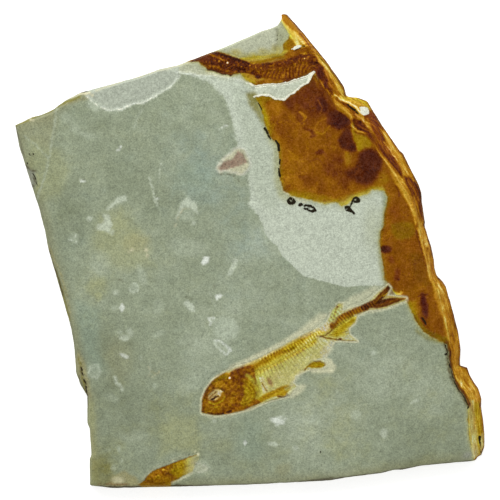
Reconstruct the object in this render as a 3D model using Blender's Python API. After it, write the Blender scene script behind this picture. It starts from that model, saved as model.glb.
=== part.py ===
"""A slab of grey-green lake shale that carries three small fossil fish in low relief.

The slab lies on its back. Z = 0 is the plane it rests on, +Z points out of the fossil
face and the origin is under the middle of the outline. Its layers show as steps along
the broken edges and as ledges on the face. Each fish is a thin film with its bones
standing on it, and sits in a shallow pocket of the bedding plane that it died on.

Lengths in this file are millimetres. The helpers that make meshes turn them to metres.
"""

import math

import bmesh
import bpy
from mathutils import Vector, noise

MM = 0.001

# Heights above the resting plane
FACE = 9.0  # the main bedding plane
UPPER_PLANE = 7.9  # the deeper layer that the upper fish lies on
FLANK_STEP = 8.45  # the broken shoulder between those two
SCALLOP_FLOOR = 8.35  # the shallow spall at the upper left
STAIN_FLOOR = 8.75  # the thin flake missing over the iron-stained layer
ABOVE_ALL = 12.0  # where the cutters for pockets and chips end
LEDGE_TOP = 9.4  # where the cutters for the ledges end
LEDGE_LEAN = 0.6  # how far a ledge's wall leans back over its height

# How the fish sit in the stone
FIT_GAP = 0.3  # between a fish and the walls and floor of its pocket
FILM = 0.4  # thickness of the film that carries the bones
FILM_PROUD = 0.1  # how far the film stands above its bedding plane
BONE_CENTRE = 0.05  # height of the bones' axes above the film
COLUMN_FLATNESS = 0.55  # height of the vertebral column over its width

# The broken edge
EDGE_SPACING = 5.0  # between neighbouring points round the slab
EDGE_ROUGHNESS = 0.45  # how far a layer wanders in or out
EDGE_WAVES = 0.09  # such wanders in a millimetre
LAYER_SHIFT = 1.7  # how differently neighbouring layers wander
EDGE_LOOSENING = 3.0  # how fast the wander grows with the share that a layer stands back
NORMAL_SPAN = 3  # neighbours on each side that set the inward direction
SHARP_ANGLE = math.radians(30.0)  # edges sharper than this stay crisp

# Each layer of the edge: height, and how much of the edge's reach it stands back
EDGE_LAYERS = (
    (0.0, 0.26),
    (0.6, 0.06),
    (2.0, 0.0),
    (2.4, 0.2),
    (3.8, 0.24),
    (4.2, 0.46),
    (5.6, 0.5),
    (6.0, 0.72),
    (8.2, 0.82),
    (FACE, 1.0),
)

# Outline seen from above, clockwise from the left corner: x, y, reach of the broken edge
SLAB_OUTLINE = (
    (-79.9, 42.7, 1.0), (-74.4, 45.4, 1.1), (-69.0, 47.1, 1.2), (-66.9, 48.1, 1.3),
    (-63.2, 51.0, 1.3), (-57.8, 53.8, 1.1), (-38.7, 59.0, 0.9), (-30.6, 61.9, 0.9),
    (-24.8, 63.1, 0.8), (-8.8, 69.2, 0.7), (3.8, 74.7, 0.7), (9.4, 76.7, 0.9),
    (10.6, 80.5, 1.0), (12.6, 80.5, 1.4), (18.4, 74.0, 2.6), (26.9, 63.4, 2.8),
    (32.0, 56.0, 3.4), (34.4, 52.3, 3.9), (40.0, 50.9, 4.6), (49.7, 35.9, 5.6),
    (52.1, 33.2, 5.6), (57.5, 22.5, 4.8), (58.6, 16.5, 3.6), (59.7, 9.4, 2.8),
    (61.6, 1.9, 3.0), (62.9, -5.9, 3.0), (66.8, -12.2, 3.8), (70.9, -27.3, 4.7),
    (71.5, -39.1, 3.8), (74.0, -39.8, 4.8), (77.9, -47.0, 5.6), (78.8, -53.0, 4.9),
    (79.9, -62.0, 5.2), (79.9, -66.8, 4.8), (77.7, -70.1, 2.6), (75.9, -71.7, 1.4),
    (58.5, -73.2, 0.9), (43.6, -76.0, 0.9), (27.2, -78.3, 0.9), (0.0, -79.7, 0.9),
    (-20.0, -80.3, 0.9), (-46.9, -80.9, 0.9), (-54.5, -80.0, 0.9), (-54.6, -70.9, 0.9),
    (-54.0, -69.7, 0.9), (-54.6, -60.5, 1.0), (-55.4, -58.9, 1.1), (-55.4, -49.4, 1.3),
    (-57.8, -45.5, 1.6), (-59.3, -41.3, 1.5), (-59.8, -33.5, 1.2), (-62.2, -21.6, 1.2),
    (-68.6, 0.2, 1.5), (-69.8, 6.7, 1.6), (-71.9, 14.8, 1.2), (-78.5, 35.2, 1.0),
)

# Crest of the broken edge on the right, from the upper plane down to the lower corner
CREST = (
    (21.8, 60.7), (23.8, 56.8), (29.3, 50.0), (35.4, 44.7), (36.6, 40.7), (41.2, 37.9),
    (44.6, 31.8), (48.9, 26.7), (53.2, 20.3), (55.5, 15.2), (57.3, 7.0), (59.0, 0.4),
    (61.0, -10.5), (63.3, -15.0), (65.3, -22.0), (66.6, -31.8),
)

# Ledge that cuts the main layer off above the fish, from the upper left edge to the crest
LEDGE = (
    (-24.6, 61.0), (-20.7, 60.4), (-18.3, 59.5), (-11.2, 59.6), (-3.4, 57.9), (0.4, 56.6),
    (5.1, 56.1), (11.9, 56.6), (15.7, 57.6), (19.1, 59.0), (21.8, 60.7),
)
FLANK = (
    (0.4, 56.6), (1.4, 52.2), (6.5, 52.7), (9.2, 51.5), (11.9, 51.5), (14.1, 53.3),
    (17.4, 56.0), (20.4, 58.7), (21.8, 60.7), (12.0, 60.0),
)
UPPER_CREST = CREST[1:6]  # the part of the crest that the upper plane reaches
FLANK_FOOT = FLANK[2:8]  # where the flank meets the stained layer
BEYOND_UPPER_EDGE = ((48.0, 44.0), (40.0, 70.0), (12.0, 90.0), (-30.0, 75.0))

SCALLOP = (
    (-55.6, 52.4), (-53.3, 50.5), (-50.6, 48.7), (-46.9, 47.7), (-43.8, 48.0),
    (-38.2, 49.8), (-35.0, 50.9), (-28.5, 54.9), (-26.3, 56.1), (-24.1, 59.7),
    (-24.0, 70.0), (-58.0, 62.0),
)

# Left edge of the iron-stained layer, from the flank down past the tail of the fish
STAIN_EDGE = (
    (66.6, -31.8), (61.9, -29.6), (58.9, -27.5), (56.4, -24.1), (54.2, -19.2),
    (48.2, -10.0), (45.3, -5.1), (44.1, 2.6), (45.4, 8.0), (46.4, 15.2), (45.6, 20.4),
    (39.9, 19.2), (34.9, 17.3), (31.3, 15.2), (25.3, 15.9), (14.1, 18.6), (11.4, 20.3),
    (10.1, 25.8), (9.7, 34.5), (6.2, 40.1), (4.3, 46.5), (1.4, 52.2),
)
CREST_LIP = 0.7  # width of the lip that stays between the missing flake and the crest

# Smaller breaks in the edges: corners of each cutter, then its floor and its top
CHIPS = {
    "left_chip": (((-79.5, 29.5), (-73.0, 27.6), (-72.3, 23.6), (-77.0, 20.0)), 8.1, ABOVE_ALL),
    "side_chip": (((-60.5, -38.0), (-57.5, -39.6), (-55.6, -48.2), (-59.0, -50.0)), 7.0, ABOVE_ALL),
    "corner_crack": (((77.4, -61.0), (78.0, -61.0), (79.6, -71.0), (78.7, -71.0)), 3.0, ABOVE_ALL),
    "top_crack": (((9.5, 77.0), (10.1, 77.0), (8.9, 69.0), (8.3, 69.0)), 7.0, ABOVE_ALL),
    "back_corner_spall": (((-85.0, 26.0), (-66.0, 34.0), (-58.0, 60.0), (-85.0, 60.0)), -3.0, 0.9),
    "back_foot_spall": (((20.0, -70.0), (52.0, -64.0), (60.0, -90.0), (12.0, -90.0)), -3.0, 0.7),
}

# Shallow pits in the main bedding plane: x, y, radius
PITS = (
    (-15.0, -3.4, 1.3), (-9.8, -32.4, 1.9), (9.4, -57.9, 2.3), (8.8, -65.4, 1.7),
    (45.7, -61.3, 1.5), (-44.3, 34.9, 0.9), (-13.4, -23.5, 1.1), (-53.0, -41.6, 1.8),
    (-21.0, 15.3, 2.2), (-43.6, 17.6, 1.4),
)
PIT_DEPTH = 0.35
PIT_SIDES = 8
PIT_RINGS = 4

# Main fish: film, skull, vertebral column from nape to tail, then its fins
MAIN_FILM = (
    (-17.4, -51.2), (-16.6, -47.4), (-14.6, -44.2), (-11.5, -41.3), (-7.2, -40.4),
    (-5.0, -39.0), (1.0, -37.6), (7.0, -34.5), (12.0, -32.3), (17.0, -30.0), (22.1, -26.6),
    (25.8, -23.0), (28.6, -19.4), (31.6, -17.3), (33.4, -18.9), (37.0, -17.6), (40.4, -15.9),
    (43.4, -13.2), (47.3, -10.9), (48.3, -11.9), (46.9, -15.0), (53.4, -15.8), (53.9, -17.2),
    (46.0, -20.2), (40.6, -21.2), (37.0, -22.0), (36.8, -26.6), (39.0, -30.6), (38.6, -32.2),
    (30.4, -31.4), (27.4, -32.8), (26.4, -35.8), (29.0, -38.0), (28.2, -40.4), (20.6, -41.2),
    (17.2, -44.0), (16.9, -46.6), (13.6, -50.4), (7.0, -52.0), (0.2, -55.0), (-5.0, -56.3),
    (-11.0, -57.2), (-16.6, -56.4), (-17.6, -54.8), (-16.7, -53.0),
)
SKULL = (
    (-16.3, -50.9), (-15.3, -47.4), (-12.9, -44.0), (-10.2, -42.2), (-6.2, -41.0),
    (-1.4, -39.9), (1.2, -41.4), (2.4, -45.2), (2.6, -48.4), (1.0, -51.4), (-2.2, -53.7),
    (-8.0, -55.5), (-13.4, -55.5), (-16.2, -54.7), (-15.2, -52.9),
)
SKULL_HEIGHT = 0.9
DOME_RINGS = (1.0, 0.9, 0.72, 0.45)  # rings of a cushion, as shares of its outline
DOME_EDGE = 0.98  # share of a full dome that a cushion's own edge stands at
EYE = (-12.1, -49.1)
EYE_RING = 1.9  # radius of the ring of bone round the eye
EYE_STRETCH = 1.25  # length of the ring over its height
EYE_TILT = 25.0  # degrees
EYE_SIDES = 14
PLATE_RADIUS = 0.35  # of the raised edges of the skull's plates
PLATE_RISE = 0.55  # height of those edges, as a share of the skull's
EYE_RISE = 0.72  # height of the ring, as a share of the skull's
GILL_COVER = ((-1.6, -40.4), (1.2, -43.6), (2.0, -47.4), (0.6, -51.0), (-2.4, -53.2))
CHEEK = ((-7.6, -42.6), (-5.6, -46.4), (-5.8, -50.2), (-8.6, -53.8))
JAW = ((-16.4, -54.4), (-12.4, -53.6), (-8.4, -52.4))
MAIN_COLUMN = (
    (-2.4, -41.2), (2.3, -39.2), (7.3, -36.8), (12.2, -34.6), (17.0, -32.1), (21.6, -29.2),
    (26.0, -26.0), (30.6, -22.9), (35.5, -20.4), (40.6, -18.5),
)
MAIN_VERTEBRAE = 30
COLUMN_RADIUS = 1.05
TAIL_SHARE = 0.76  # radius of the last vertebra over that of the first
WAIST = 0.72  # radius of a vertebra's middle over that of its ends
COLUMN_SPAN = 0.12  # share of a column over which its direction is taken for a rib
RIB_RADIUS = 0.22
RIB_TIP = 0.5  # radius of a rib's tip over that of its root
RAY_RADIUS = 0.2
RAY_TIP = 0.6

# Rows of ribs: first and last place on the column, number, angle off the column in degrees,
# first and last length, bend in degrees
MAIN_RIBS = (0.15, 0.54, 18, -84.0, (9.6, 6.5), 8.0)
MAIN_SPINES = (0.66, 0.94, 10, -50.0, (2.6, 1.8), 0.0)
UPPER_RIBS = (0.3, 0.97, 19, -68.0, (3.0, 3.6), -40.0)
LOWER_RIBS = (0.1, 0.95, 9, -70.0, (1.6, 3.4), 0.0)
LOWER_SPINES = (0.1, 0.9, 8, 60.0, (1.2, 1.2), 0.0)

# Each fin: first and last root, first and last tip, number of rays
MAIN_FINS = (
    ((3.2, -49.4), (2.2, -52.2), (15.3, -46.2), (11.6, -49.6), 7),
    ((18.9, -39.9), (18.9, -40.1), (23.4, -37.9), (25.6, -39.4), 5),
    ((25.2, -29.0), (32.6, -24.6), (37.6, -31.2), (35.6, -25.2), 8),
    ((26.8, -24.2), (31.2, -21.4), (28.6, -20.6), (31.4, -18.5), 5),
    ((39.8, -18.2), (40.4, -18.9), (46.9, -11.9), (45.2, -15.0), 6),
    ((40.2, -18.9), (39.8, -19.6), (51.8, -16.7), (46.4, -18.9), 6),
)

# Upper fish, cut off by the slab's edge at the left and by the crest at the right
UPPER_FILM = (
    (-21.4, 62.9), (-17.2, 64.5), (-12.9, 66.3), (-10.4, 67.2), (-6.9, 67.0), (-3.0, 65.8),
    (0.4, 65.6), (5.1, 65.4), (10.4, 66.0), (14.8, 67.6), (17.4, 68.0), (21.8, 67.2),
    (23.3, 64.0), (23.2, 60.9), (21.9, 62.0), (19.0, 60.2), (15.7, 58.9), (11.9, 57.9),
    (5.1, 57.3), (0.2, 58.2), (-3.4, 59.6), (-9.9, 60.6), (-14.6, 61.0), (-18.2, 61.6),
)
UPPER_COLUMN = (
    (-19.6, 63.2), (-14.8, 64.6), (-9.8, 64.6), (-4.6, 63.0), (0.4, 62.2), (5.1, 62.0),
    (10.4, 62.4), (14.0, 64.0), (17.8, 65.2), (21.8, 65.0),
)
UPPER_VERTEBRAE = 24
UPPER_RADIUS = 0.95
UPPER_BACK = ((-13.0, 66.4), (-10.9, 66.5), (-7.3, 65.9), (-3.0, 64.7), (-1.3, 63.9))

# Lower fish, cut off by the slab's lower edge
LOWER_FILM = (
    (-36.2, -79.0), (-34.0, -75.0), (-31.8, -73.6), (-27.9, -72.0), (-22.6, -70.0),
    (-17.4, -68.6), (-16.4, -70.0), (-18.6, -75.0), (-22.6, -77.2), (-27.8, -79.2),
)
LOWER_COLUMN = ((-33.8, -77.6), (-29.6, -75.6), (-25.0, -73.8), (-20.4, -71.8))
LOWER_VERTEBRAE = 12
LOWER_RADIUS = 0.9
LOWER_TAIL_SHARE = 0.8

# Sides of the round bars: 0 gives four sides, 1 gives eight
FOUR_SIDES = 0
EIGHT_SIDES = 1

# Each material: slot, colour, roughness
SLAB_SLOT = ("shale", (0.30, 0.34, 0.23), 0.85)
BONE_SLOT = ("fossil_bone", (0.26, 0.12, 0.01), 0.6)


def clear_scene():
    for item in list(bpy.data.objects):
        bpy.data.objects.remove(item, do_unlink=True)


def new_collection(name):
    collection = bpy.data.collections.new(name)
    bpy.context.scene.collection.children.link(collection)
    return collection


def principled(name, colour, roughness):
    material = bpy.data.materials.new(name)
    material.use_nodes = True
    shader = material.node_tree.nodes["Principled BSDF"]
    shader.inputs["Base Color"].default_value = (*colour, 1.0)
    shader.inputs["Roughness"].default_value = roughness
    shader.inputs["Metallic"].default_value = 0.0
    return material


# ---------------------------------------------------------------- plane geometry


def along(path, share):
    """The point at a share of a smooth curve's points, and the curve's direction there."""
    place = share * (len(path) - 1)
    start = min(int(place), len(path) - 2)
    t = place - start
    stops = [Vector(path[max(0, min(len(path) - 1, start + k))]) for k in (-1, 0, 1, 2)]
    before, here, after, beyond = stops
    bend = 2 * before - 5 * here + 4 * after - beyond
    twist = 3 * here - before - 3 * after + beyond
    point = here + 0.5 * t * ((after - before) + t * (bend + t * twist))
    slope = 0.5 * (after - before) + t * bend + 1.5 * t * t * twist
    return point, slope.normalized()


def turned(direction, degrees):
    angle = math.radians(degrees)
    return Vector(
        (
            direction.x * math.cos(angle) - direction.y * math.sin(angle),
            direction.x * math.sin(angle) + direction.y * math.cos(angle),
        )
    )


def signed_area(points):
    pairs = zip(points, points[1:] + points[:1])
    return 0.5 * sum(a[0] * b[1] - b[0] * a[1] for a, b in pairs)


def grown(points, distance):
    """A closed outline with every side moved out by a distance."""
    points = [Vector(point) for point in points]
    side = 1.0 if signed_area(points) > 0 else -1.0
    result = []
    for before, here, after in zip(points[-1:] + points[:-1], points, points[1:] + points[:1]):
        first = (here - before).normalized()
        second = (after - here).normalized()
        out = Vector((first.y + second.y, -first.x - second.x)).normalized() * side
        spread = max(0.5, out.dot(Vector((first.y, -first.x))) * side)
        result.append(here + out * distance / spread)
    return result


def edge_points():
    """Points round the slab at even steps, each with the reach of the edge there."""
    points = []
    for start, end in zip(SLAB_OUTLINE, SLAB_OUTLINE[1:] + SLAB_OUTLINE[:1]):
        start, end = Vector(start), Vector(end)
        steps = max(1, round((end - start).xy.length / EDGE_SPACING))
        points += [start.lerp(end, k / steps) for k in range(steps)]
    return points


def inward(points, index):
    """The direction into the slab, smoothed over the neighbours of a point."""
    count = len(points)
    run = points[(index + NORMAL_SPAN) % count].xy - points[(index - NORMAL_SPAN) % count].xy
    return Vector((run.y, -run.x)).normalized()


# ---------------------------------------------------------------- mesh helpers


def mesh_object(name, mesh, collection):
    item = bpy.data.objects.new(name, mesh)
    collection.objects.link(item)
    return item


def from_curve(guide, collection):
    """Turns a curve object to a mesh object with its caps welded on."""
    bpy.context.scene.collection.objects.link(guide)
    seen = guide.evaluated_get(bpy.context.evaluated_depsgraph_get())
    mesh = bpy.data.meshes.new_from_object(seen)
    solid = mesh_object(guide.name + "_solid", mesh, collection)
    solid.matrix_world = guide.matrix_world
    bpy.data.objects.remove(guide, do_unlink=True)
    bm = bmesh.new()
    bm.from_mesh(mesh)
    bmesh.ops.remove_doubles(bm, verts=bm.verts, dist=0.001 * MM)
    bmesh.ops.recalc_face_normals(bm, faces=bm.faces)
    bm.to_mesh(mesh)
    bm.free()
    return solid


def plate(name, outline, low, high, collection):
    """A flat outline as a solid between two heights."""
    curve = bpy.data.curves.new(name, "CURVE")
    curve.dimensions = "2D"
    curve.fill_mode = "BOTH"
    curve.extrude = (high - low) / 2 * MM
    spline = curve.splines.new("POLY")
    spline.points.add(len(outline) - 1)
    for point, (x, y) in zip(spline.points, outline):
        point.co = (x * MM, y * MM, (high + low) / 2 * MM, 1.0)
    spline.use_cyclic_u = True
    guide = bpy.data.objects.new(name, curve)
    return from_curve(guide, collection)


def tubes(name, paths, radius, sides, height, flatness, collection):
    """Round bars along paths of (x, y, share of the radius), all at one height."""
    curve = bpy.data.curves.new(name, "CURVE")
    curve.dimensions = "3D"
    curve.fill_mode = "FULL"
    curve.bevel_depth = radius * MM
    curve.bevel_resolution = sides
    curve.use_fill_caps = True
    for path in paths:
        spline = curve.splines.new("POLY")
        spline.points.add(len(path) - 1)
        for point, (x, y, share) in zip(spline.points, path):
            point.co = (x * MM, y * MM, 0.0, 1.0)
            point.radius = share
    guide = bpy.data.objects.new(name, curve)
    solid = from_curve(guide, collection)
    for vertex in solid.data.vertices:
        vertex.co.z = vertex.co.z * flatness + height * MM
    return solid


def loft(name, rings, collection):
    """A solid through closed rings of (x, y, z) that all have as many points."""
    bm = bmesh.new()
    loops = [[bm.verts.new(Vector(point) * MM) for point in ring] for ring in rings]
    count = len(loops[0])
    for low, high in zip(loops, loops[1:]):
        for i in range(count):
            j = (i + 1) % count
            bm.faces.new((low[i], low[j], high[j], high[i]))
    bm.faces.new(loops[0])
    bm.faces.new(loops[-1])
    bmesh.ops.recalc_face_normals(bm, faces=bm.faces)
    mesh = bpy.data.meshes.new(name)
    bm.to_mesh(mesh)
    bm.free()
    return mesh_object(name, mesh, collection)


def leaning_plate(name, outline, low, high, collection):
    """A cutter whose walls lean outwards as they rise, for a ledge with a sloping face."""
    wider = grown(outline, (high - low) * LEDGE_LEAN)
    rings = [[(*point, low) for point in outline], [(*point, high) for point in wider]]
    return loft(name, rings, collection)


def pit(name, x, y, radius, collection):
    """A flattened ball that dips into the main bedding plane."""
    bm = bmesh.new()
    bmesh.ops.create_uvsphere(bm, u_segments=PIT_SIDES, v_segments=PIT_RINGS, radius=radius * MM)
    for vertex in bm.verts:
        vertex.co.z *= PIT_DEPTH / radius
        vertex.co += Vector((x, y, FACE)) * MM
    mesh = bpy.data.meshes.new(name)
    bm.to_mesh(mesh)
    bm.free()
    return mesh_object(name, mesh, collection)


def dome(name, outline, base, height, collection):
    """A low cushion over an outline: rings that close in as they rise."""
    middle = sum((Vector(point) for point in outline), Vector((0.0, 0.0))) / len(outline)
    rings = [[(x, y, base - FILM / 2) for x, y in outline]]
    for share in DOME_RINGS:
        rise = height * math.sqrt(1.0 - (share * DOME_EDGE) ** 2)
        ring = [middle + (Vector(point) - middle) * share for point in outline]
        rings.append([(point.x, point.y, base + rise) for point in ring])
    return loft(name, rings, collection)


def applied(item):
    """Replaces a mesh object's mesh by the evaluated one and drops its modifiers."""
    bpy.context.view_layer.update()
    seen = item.evaluated_get(bpy.context.evaluated_depsgraph_get())
    mesh = bpy.data.meshes.new_from_object(seen)
    item.modifiers.clear()
    item.data = mesh
    return item


def combine(body, other, operation):
    """Unites another solid with the body, or cuts it from the body, and removes it."""
    step = body.modifiers.new(operation.lower(), "BOOLEAN")
    step.operation = operation
    step.solver = "EXACT"
    step.use_self = operation == "UNION"
    step.object = other
    applied(body)
    bpy.data.objects.remove(other, do_unlink=True)


# ---------------------------------------------------------------- bones


def column_path(path, vertebrae, tail_share):
    """A spool for each vertebra: wide at its ends and waisted between them."""
    result = []
    for k in range(2 * vertebrae + 1):
        share = k / (2 * vertebrae)
        point, _ = along(path, share)
        width = 1.0 + (tail_share - 1.0) * share
        waist = WAIST if k % 2 else 1.0
        result.append((point.x, point.y, width * waist))
    return result


def rib_paths(column, row):
    """Ribs that leave the column at an angle and taper to their tips."""
    first, last, count, angle, lengths, bend = row
    paths = []
    for k in range(count):
        share = k / (count - 1)
        place = first + (last - first) * share
        root, _ = along(column, place)
        behind, _ = along(column, max(0.0, place - COLUMN_SPAN))
        ahead, _ = along(column, min(1.0, place + COLUMN_SPAN))
        direction = (ahead - behind).normalized()
        length = lengths[0] + (lengths[1] - lengths[0]) * share
        path = []
        for step, width in ((0.0, 1.0), (0.5, 1.0), (1.0, RIB_TIP)):
            heading = turned(direction, angle + bend * step)
            tip = root + heading * length * step
            path.append((tip.x, tip.y, width))
        paths.append(path)
    return paths


def fan_paths(fin):
    """The rays of a fin, spread evenly from its root to its tips."""
    first_root, last_root, first_tip, last_tip, count = fin
    paths = []
    for k in range(count):
        share = k / (count - 1)
        root = Vector(first_root).lerp(Vector(last_root), share)
        tip = Vector(first_tip).lerp(Vector(last_tip), share)
        paths.append([(root.x, root.y, 1.0), (tip.x, tip.y, RAY_TIP)])
    return paths


def line_path(points):
    return [(x, y, 1.0) for x, y in points]


def fish(name, outline, plane, groups, collection):
    """A film on its bedding plane with groups of bones united on it."""
    top = plane + FILM_PROUD
    body = plate(name, outline, top - FILM, top, collection)
    body.name = name
    for index, (paths, radius, sides, flatness) in enumerate(groups):
        label = f"{name}_bones_{index}"
        height = top + BONE_CENTRE
        bones = tubes(label, paths, radius, sides, height, flatness, collection)
        combine(body, bones, "UNION")
    return body


def eye_ring_path():
    """The closed ring of bone round the eye."""
    path = []
    for k in range(EYE_SIDES + 1):
        turn = turned(Vector((1.0, 0.0)), k * 360.0 / EYE_SIDES)
        spot = turned(Vector((turn.x * EYE_RING * EYE_STRETCH, turn.y * EYE_RING)), EYE_TILT)
        path.append((EYE[0] + spot.x, EYE[1] + spot.y, 1.0))
    return path


def make_main_fish(collection):
    column = column_path(MAIN_COLUMN, MAIN_VERTEBRAE, TAIL_SHARE)
    ribs = rib_paths(MAIN_COLUMN, MAIN_RIBS) + rib_paths(MAIN_COLUMN, MAIN_SPINES)
    rays = [ray for fin in MAIN_FINS for ray in fan_paths(fin)]
    groups = (
        ([column], COLUMN_RADIUS, EIGHT_SIDES, COLUMN_FLATNESS),
        (ribs, RIB_RADIUS, FOUR_SIDES, 1.0),
        (rays, RAY_RADIUS, FOUR_SIDES, 1.0),
    )
    body = fish("main_fish", MAIN_FILM, FACE, groups, collection)
    top = FACE + FILM_PROUD
    combine(body, dome("skull", SKULL, top, SKULL_HEIGHT, collection), "UNION")
    plates = [line_path(GILL_COVER), line_path(CHEEK), line_path(JAW)]
    rise = top + SKULL_HEIGHT * PLATE_RISE
    combine(body, tubes("cheek", plates, PLATE_RADIUS, FOUR_SIDES, rise, 1.0, collection), "UNION")
    ring = [eye_ring_path()]
    rise = top + SKULL_HEIGHT * EYE_RISE
    combine(body, tubes("eye_ring", ring, PLATE_RADIUS, FOUR_SIDES, rise, 1.0, collection), "UNION")
    return body


def make_upper_fish(collection):
    column = column_path(UPPER_COLUMN, UPPER_VERTEBRAE, 1.0)
    groups = (
        ([column], UPPER_RADIUS, EIGHT_SIDES, COLUMN_FLATNESS),
        (rib_paths(UPPER_COLUMN, UPPER_RIBS), RIB_RADIUS, FOUR_SIDES, 1.0),
        ([line_path(UPPER_BACK)], PLATE_RADIUS, FOUR_SIDES, 1.0),
    )
    return fish("upper_fish", UPPER_FILM, UPPER_PLANE, groups, collection)


def make_lower_fish(collection):
    column = column_path(LOWER_COLUMN, LOWER_VERTEBRAE, LOWER_TAIL_SHARE)
    ribs = rib_paths(LOWER_COLUMN, LOWER_RIBS) + rib_paths(LOWER_COLUMN, LOWER_SPINES)
    groups = (
        ([column], LOWER_RADIUS, EIGHT_SIDES, COLUMN_FLATNESS),
        (ribs, RIB_RADIUS, FOUR_SIDES, 1.0),
    )
    return fish("lower_fish", LOWER_FILM, FACE, groups, collection)


# ---------------------------------------------------------------- slab


def slab_rings():
    """The outline at each layer of the broken edge."""
    points = edge_points()
    rings = []
    for level, (height, share) in enumerate(EDGE_LAYERS):
        ring = []
        for index, point in enumerate(points):
            place = Vector((point.x * EDGE_WAVES, point.y * EDGE_WAVES, level * LAYER_SHIFT))
            loose = EDGE_ROUGHNESS * min(1.0, share * EDGE_LOOSENING)
            back = share * point.z + loose * noise.noise(place)
            spot = point.xy + inward(points, index) * max(0.0, back)
            ring.append((spot.x, spot.y, height))
        rings.append(ring)
    return rings


def upper_plane_outline():
    """Everything above the ledge and outside the crest, out past the slab's edge."""
    return list(LEDGE + UPPER_CREST + BEYOND_UPPER_EDGE)


def stain_outline():
    """The missing flake: its left edge, the flank and a line just inside the crest."""
    lip = []
    for k, (x, y) in enumerate(CREST[:-1]):
        _, run = along(CREST, k / (len(CREST) - 1))
        lip.append((x + run.y * CREST_LIP, y - run.x * CREST_LIP))
    return list(STAIN_EDGE + FLANK_FOOT) + lip


def ledge_cutters(collection):
    ledges = {
        "upper_plane": (upper_plane_outline(), UPPER_PLANE),
        "flank": (FLANK, FLANK_STEP),
        "scallop": (SCALLOP, SCALLOP_FLOOR),
        "stain": (stain_outline(), STAIN_FLOOR),
    }
    for name, (outline, floor) in ledges.items():
        yield leaning_plate(name, outline, floor, LEDGE_TOP, collection)


def chip_cutters(collection):
    for name, (outline, low, high) in CHIPS.items():
        yield plate(name, outline, low, high, collection)
    for index, (x, y, radius) in enumerate(PITS):
        yield pit(f"pit_{index}", x, y, radius, collection)


def pocket_cutters(collection):
    pockets = {
        "main_pocket": (MAIN_FILM, FACE),
        "upper_pocket": (UPPER_FILM, UPPER_PLANE),
        "lower_pocket": (LOWER_FILM, FACE),
    }
    for name, (film, plane) in pockets.items():
        floor = plane + FILM_PROUD - FILM - FIT_GAP
        yield plate(name, grown(film, FIT_GAP), floor, ABOVE_ALL, collection)


def make_slab(collection, cutters):
    body = loft("shale_slab", slab_rings(), collection)
    for group in (ledge_cutters, chip_cutters, pocket_cutters):
        for cutter in group(cutters):
            cutter.hide_render = True
            cutter.display_type = "WIRE"
            combine(body, cutter, "DIFFERENCE")
    return body


def finish(item, slot):
    item.data.materials.clear()
    item.data.materials.append(principled(*slot))
    item.data.shade_smooth()
    item.data.set_sharp_from_angle(angle=SHARP_ANGLE)


def main():
    clear_scene()
    parts = new_collection("fossil_fish_slab")
    cutters = new_collection("cutters")
    finish(make_slab(parts, cutters), SLAB_SLOT)
    for make in (make_main_fish, make_upper_fish, make_lower_fish):
        finish(make(parts), BONE_SLOT)


main()
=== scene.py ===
"""Looks of the fossil fish slab: grey-green lake shale, its iron-stained rim and its three small fish.

Lengths are millimetres unless a name says otherwise. Colours are sRGB values from 0 to 255.
"""

import math

import bpy
import numpy as np
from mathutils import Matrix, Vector, geometry


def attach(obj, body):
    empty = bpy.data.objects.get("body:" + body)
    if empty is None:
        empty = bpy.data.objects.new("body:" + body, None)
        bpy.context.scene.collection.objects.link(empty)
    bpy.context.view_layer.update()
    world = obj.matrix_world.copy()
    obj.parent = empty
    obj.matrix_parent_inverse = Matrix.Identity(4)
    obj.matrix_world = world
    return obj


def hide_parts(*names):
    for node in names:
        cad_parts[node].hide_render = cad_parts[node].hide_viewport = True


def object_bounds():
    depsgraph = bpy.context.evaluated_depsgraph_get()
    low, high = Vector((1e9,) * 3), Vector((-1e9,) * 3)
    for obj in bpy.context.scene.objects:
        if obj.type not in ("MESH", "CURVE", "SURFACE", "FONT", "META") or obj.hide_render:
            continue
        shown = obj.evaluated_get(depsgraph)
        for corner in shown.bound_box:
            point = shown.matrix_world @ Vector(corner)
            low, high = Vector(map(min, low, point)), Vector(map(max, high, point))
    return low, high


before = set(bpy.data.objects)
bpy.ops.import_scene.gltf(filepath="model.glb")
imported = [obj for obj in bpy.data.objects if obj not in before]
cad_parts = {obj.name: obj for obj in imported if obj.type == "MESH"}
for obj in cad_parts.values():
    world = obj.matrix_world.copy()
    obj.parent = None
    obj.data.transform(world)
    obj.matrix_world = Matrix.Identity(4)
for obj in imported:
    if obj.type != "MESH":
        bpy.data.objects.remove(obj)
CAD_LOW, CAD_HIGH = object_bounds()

MM = 0.001

# Camera, lights and floor, in metres
PHOTO_WIDTH = 0.170  # what the camera sees at the height of the face
LENS = 1200.0
SENSOR = 36.0
CLIP_END = 10.0
PHOTO_CENTRE = (0.00003, 0.0002)
EXPOSURE = 1.2  # brightness of a white surface that faces the camera
SKY_STRENGTH = 0.62
LAMP_SIZE, LAMP_POWER, LAMP_PLACE = 0.6, 6.0, (-0.15, 0.55, 0.60)
FLOOR_REACH = 2.0
FLOOR_DROP = 0.0002  # how far the floor lies under the slab, so that they don't touch
FLOOR_COLOUR, FLOOR_GLOW, FLOOR_ROUGHNESS = (0.8, 0.8, 0.8), 0.6, 0.9

# Heights above the resting plane
FACE = 9.0
UPPER_PLANE = 7.9
SCALLOP_FLOOR = 8.35
STAIN_DROP = 0.22  # how far the stained layer lies under the face
WIDEST = 2.0  # height at which the broken edge stands furthest out
FLOOR_INSET = 0.26  # share of the edge's reach by which the foot stands back

CAD_GAP = 0.02  # how far the slab's mesh stays inside the CAD model's box

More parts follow.
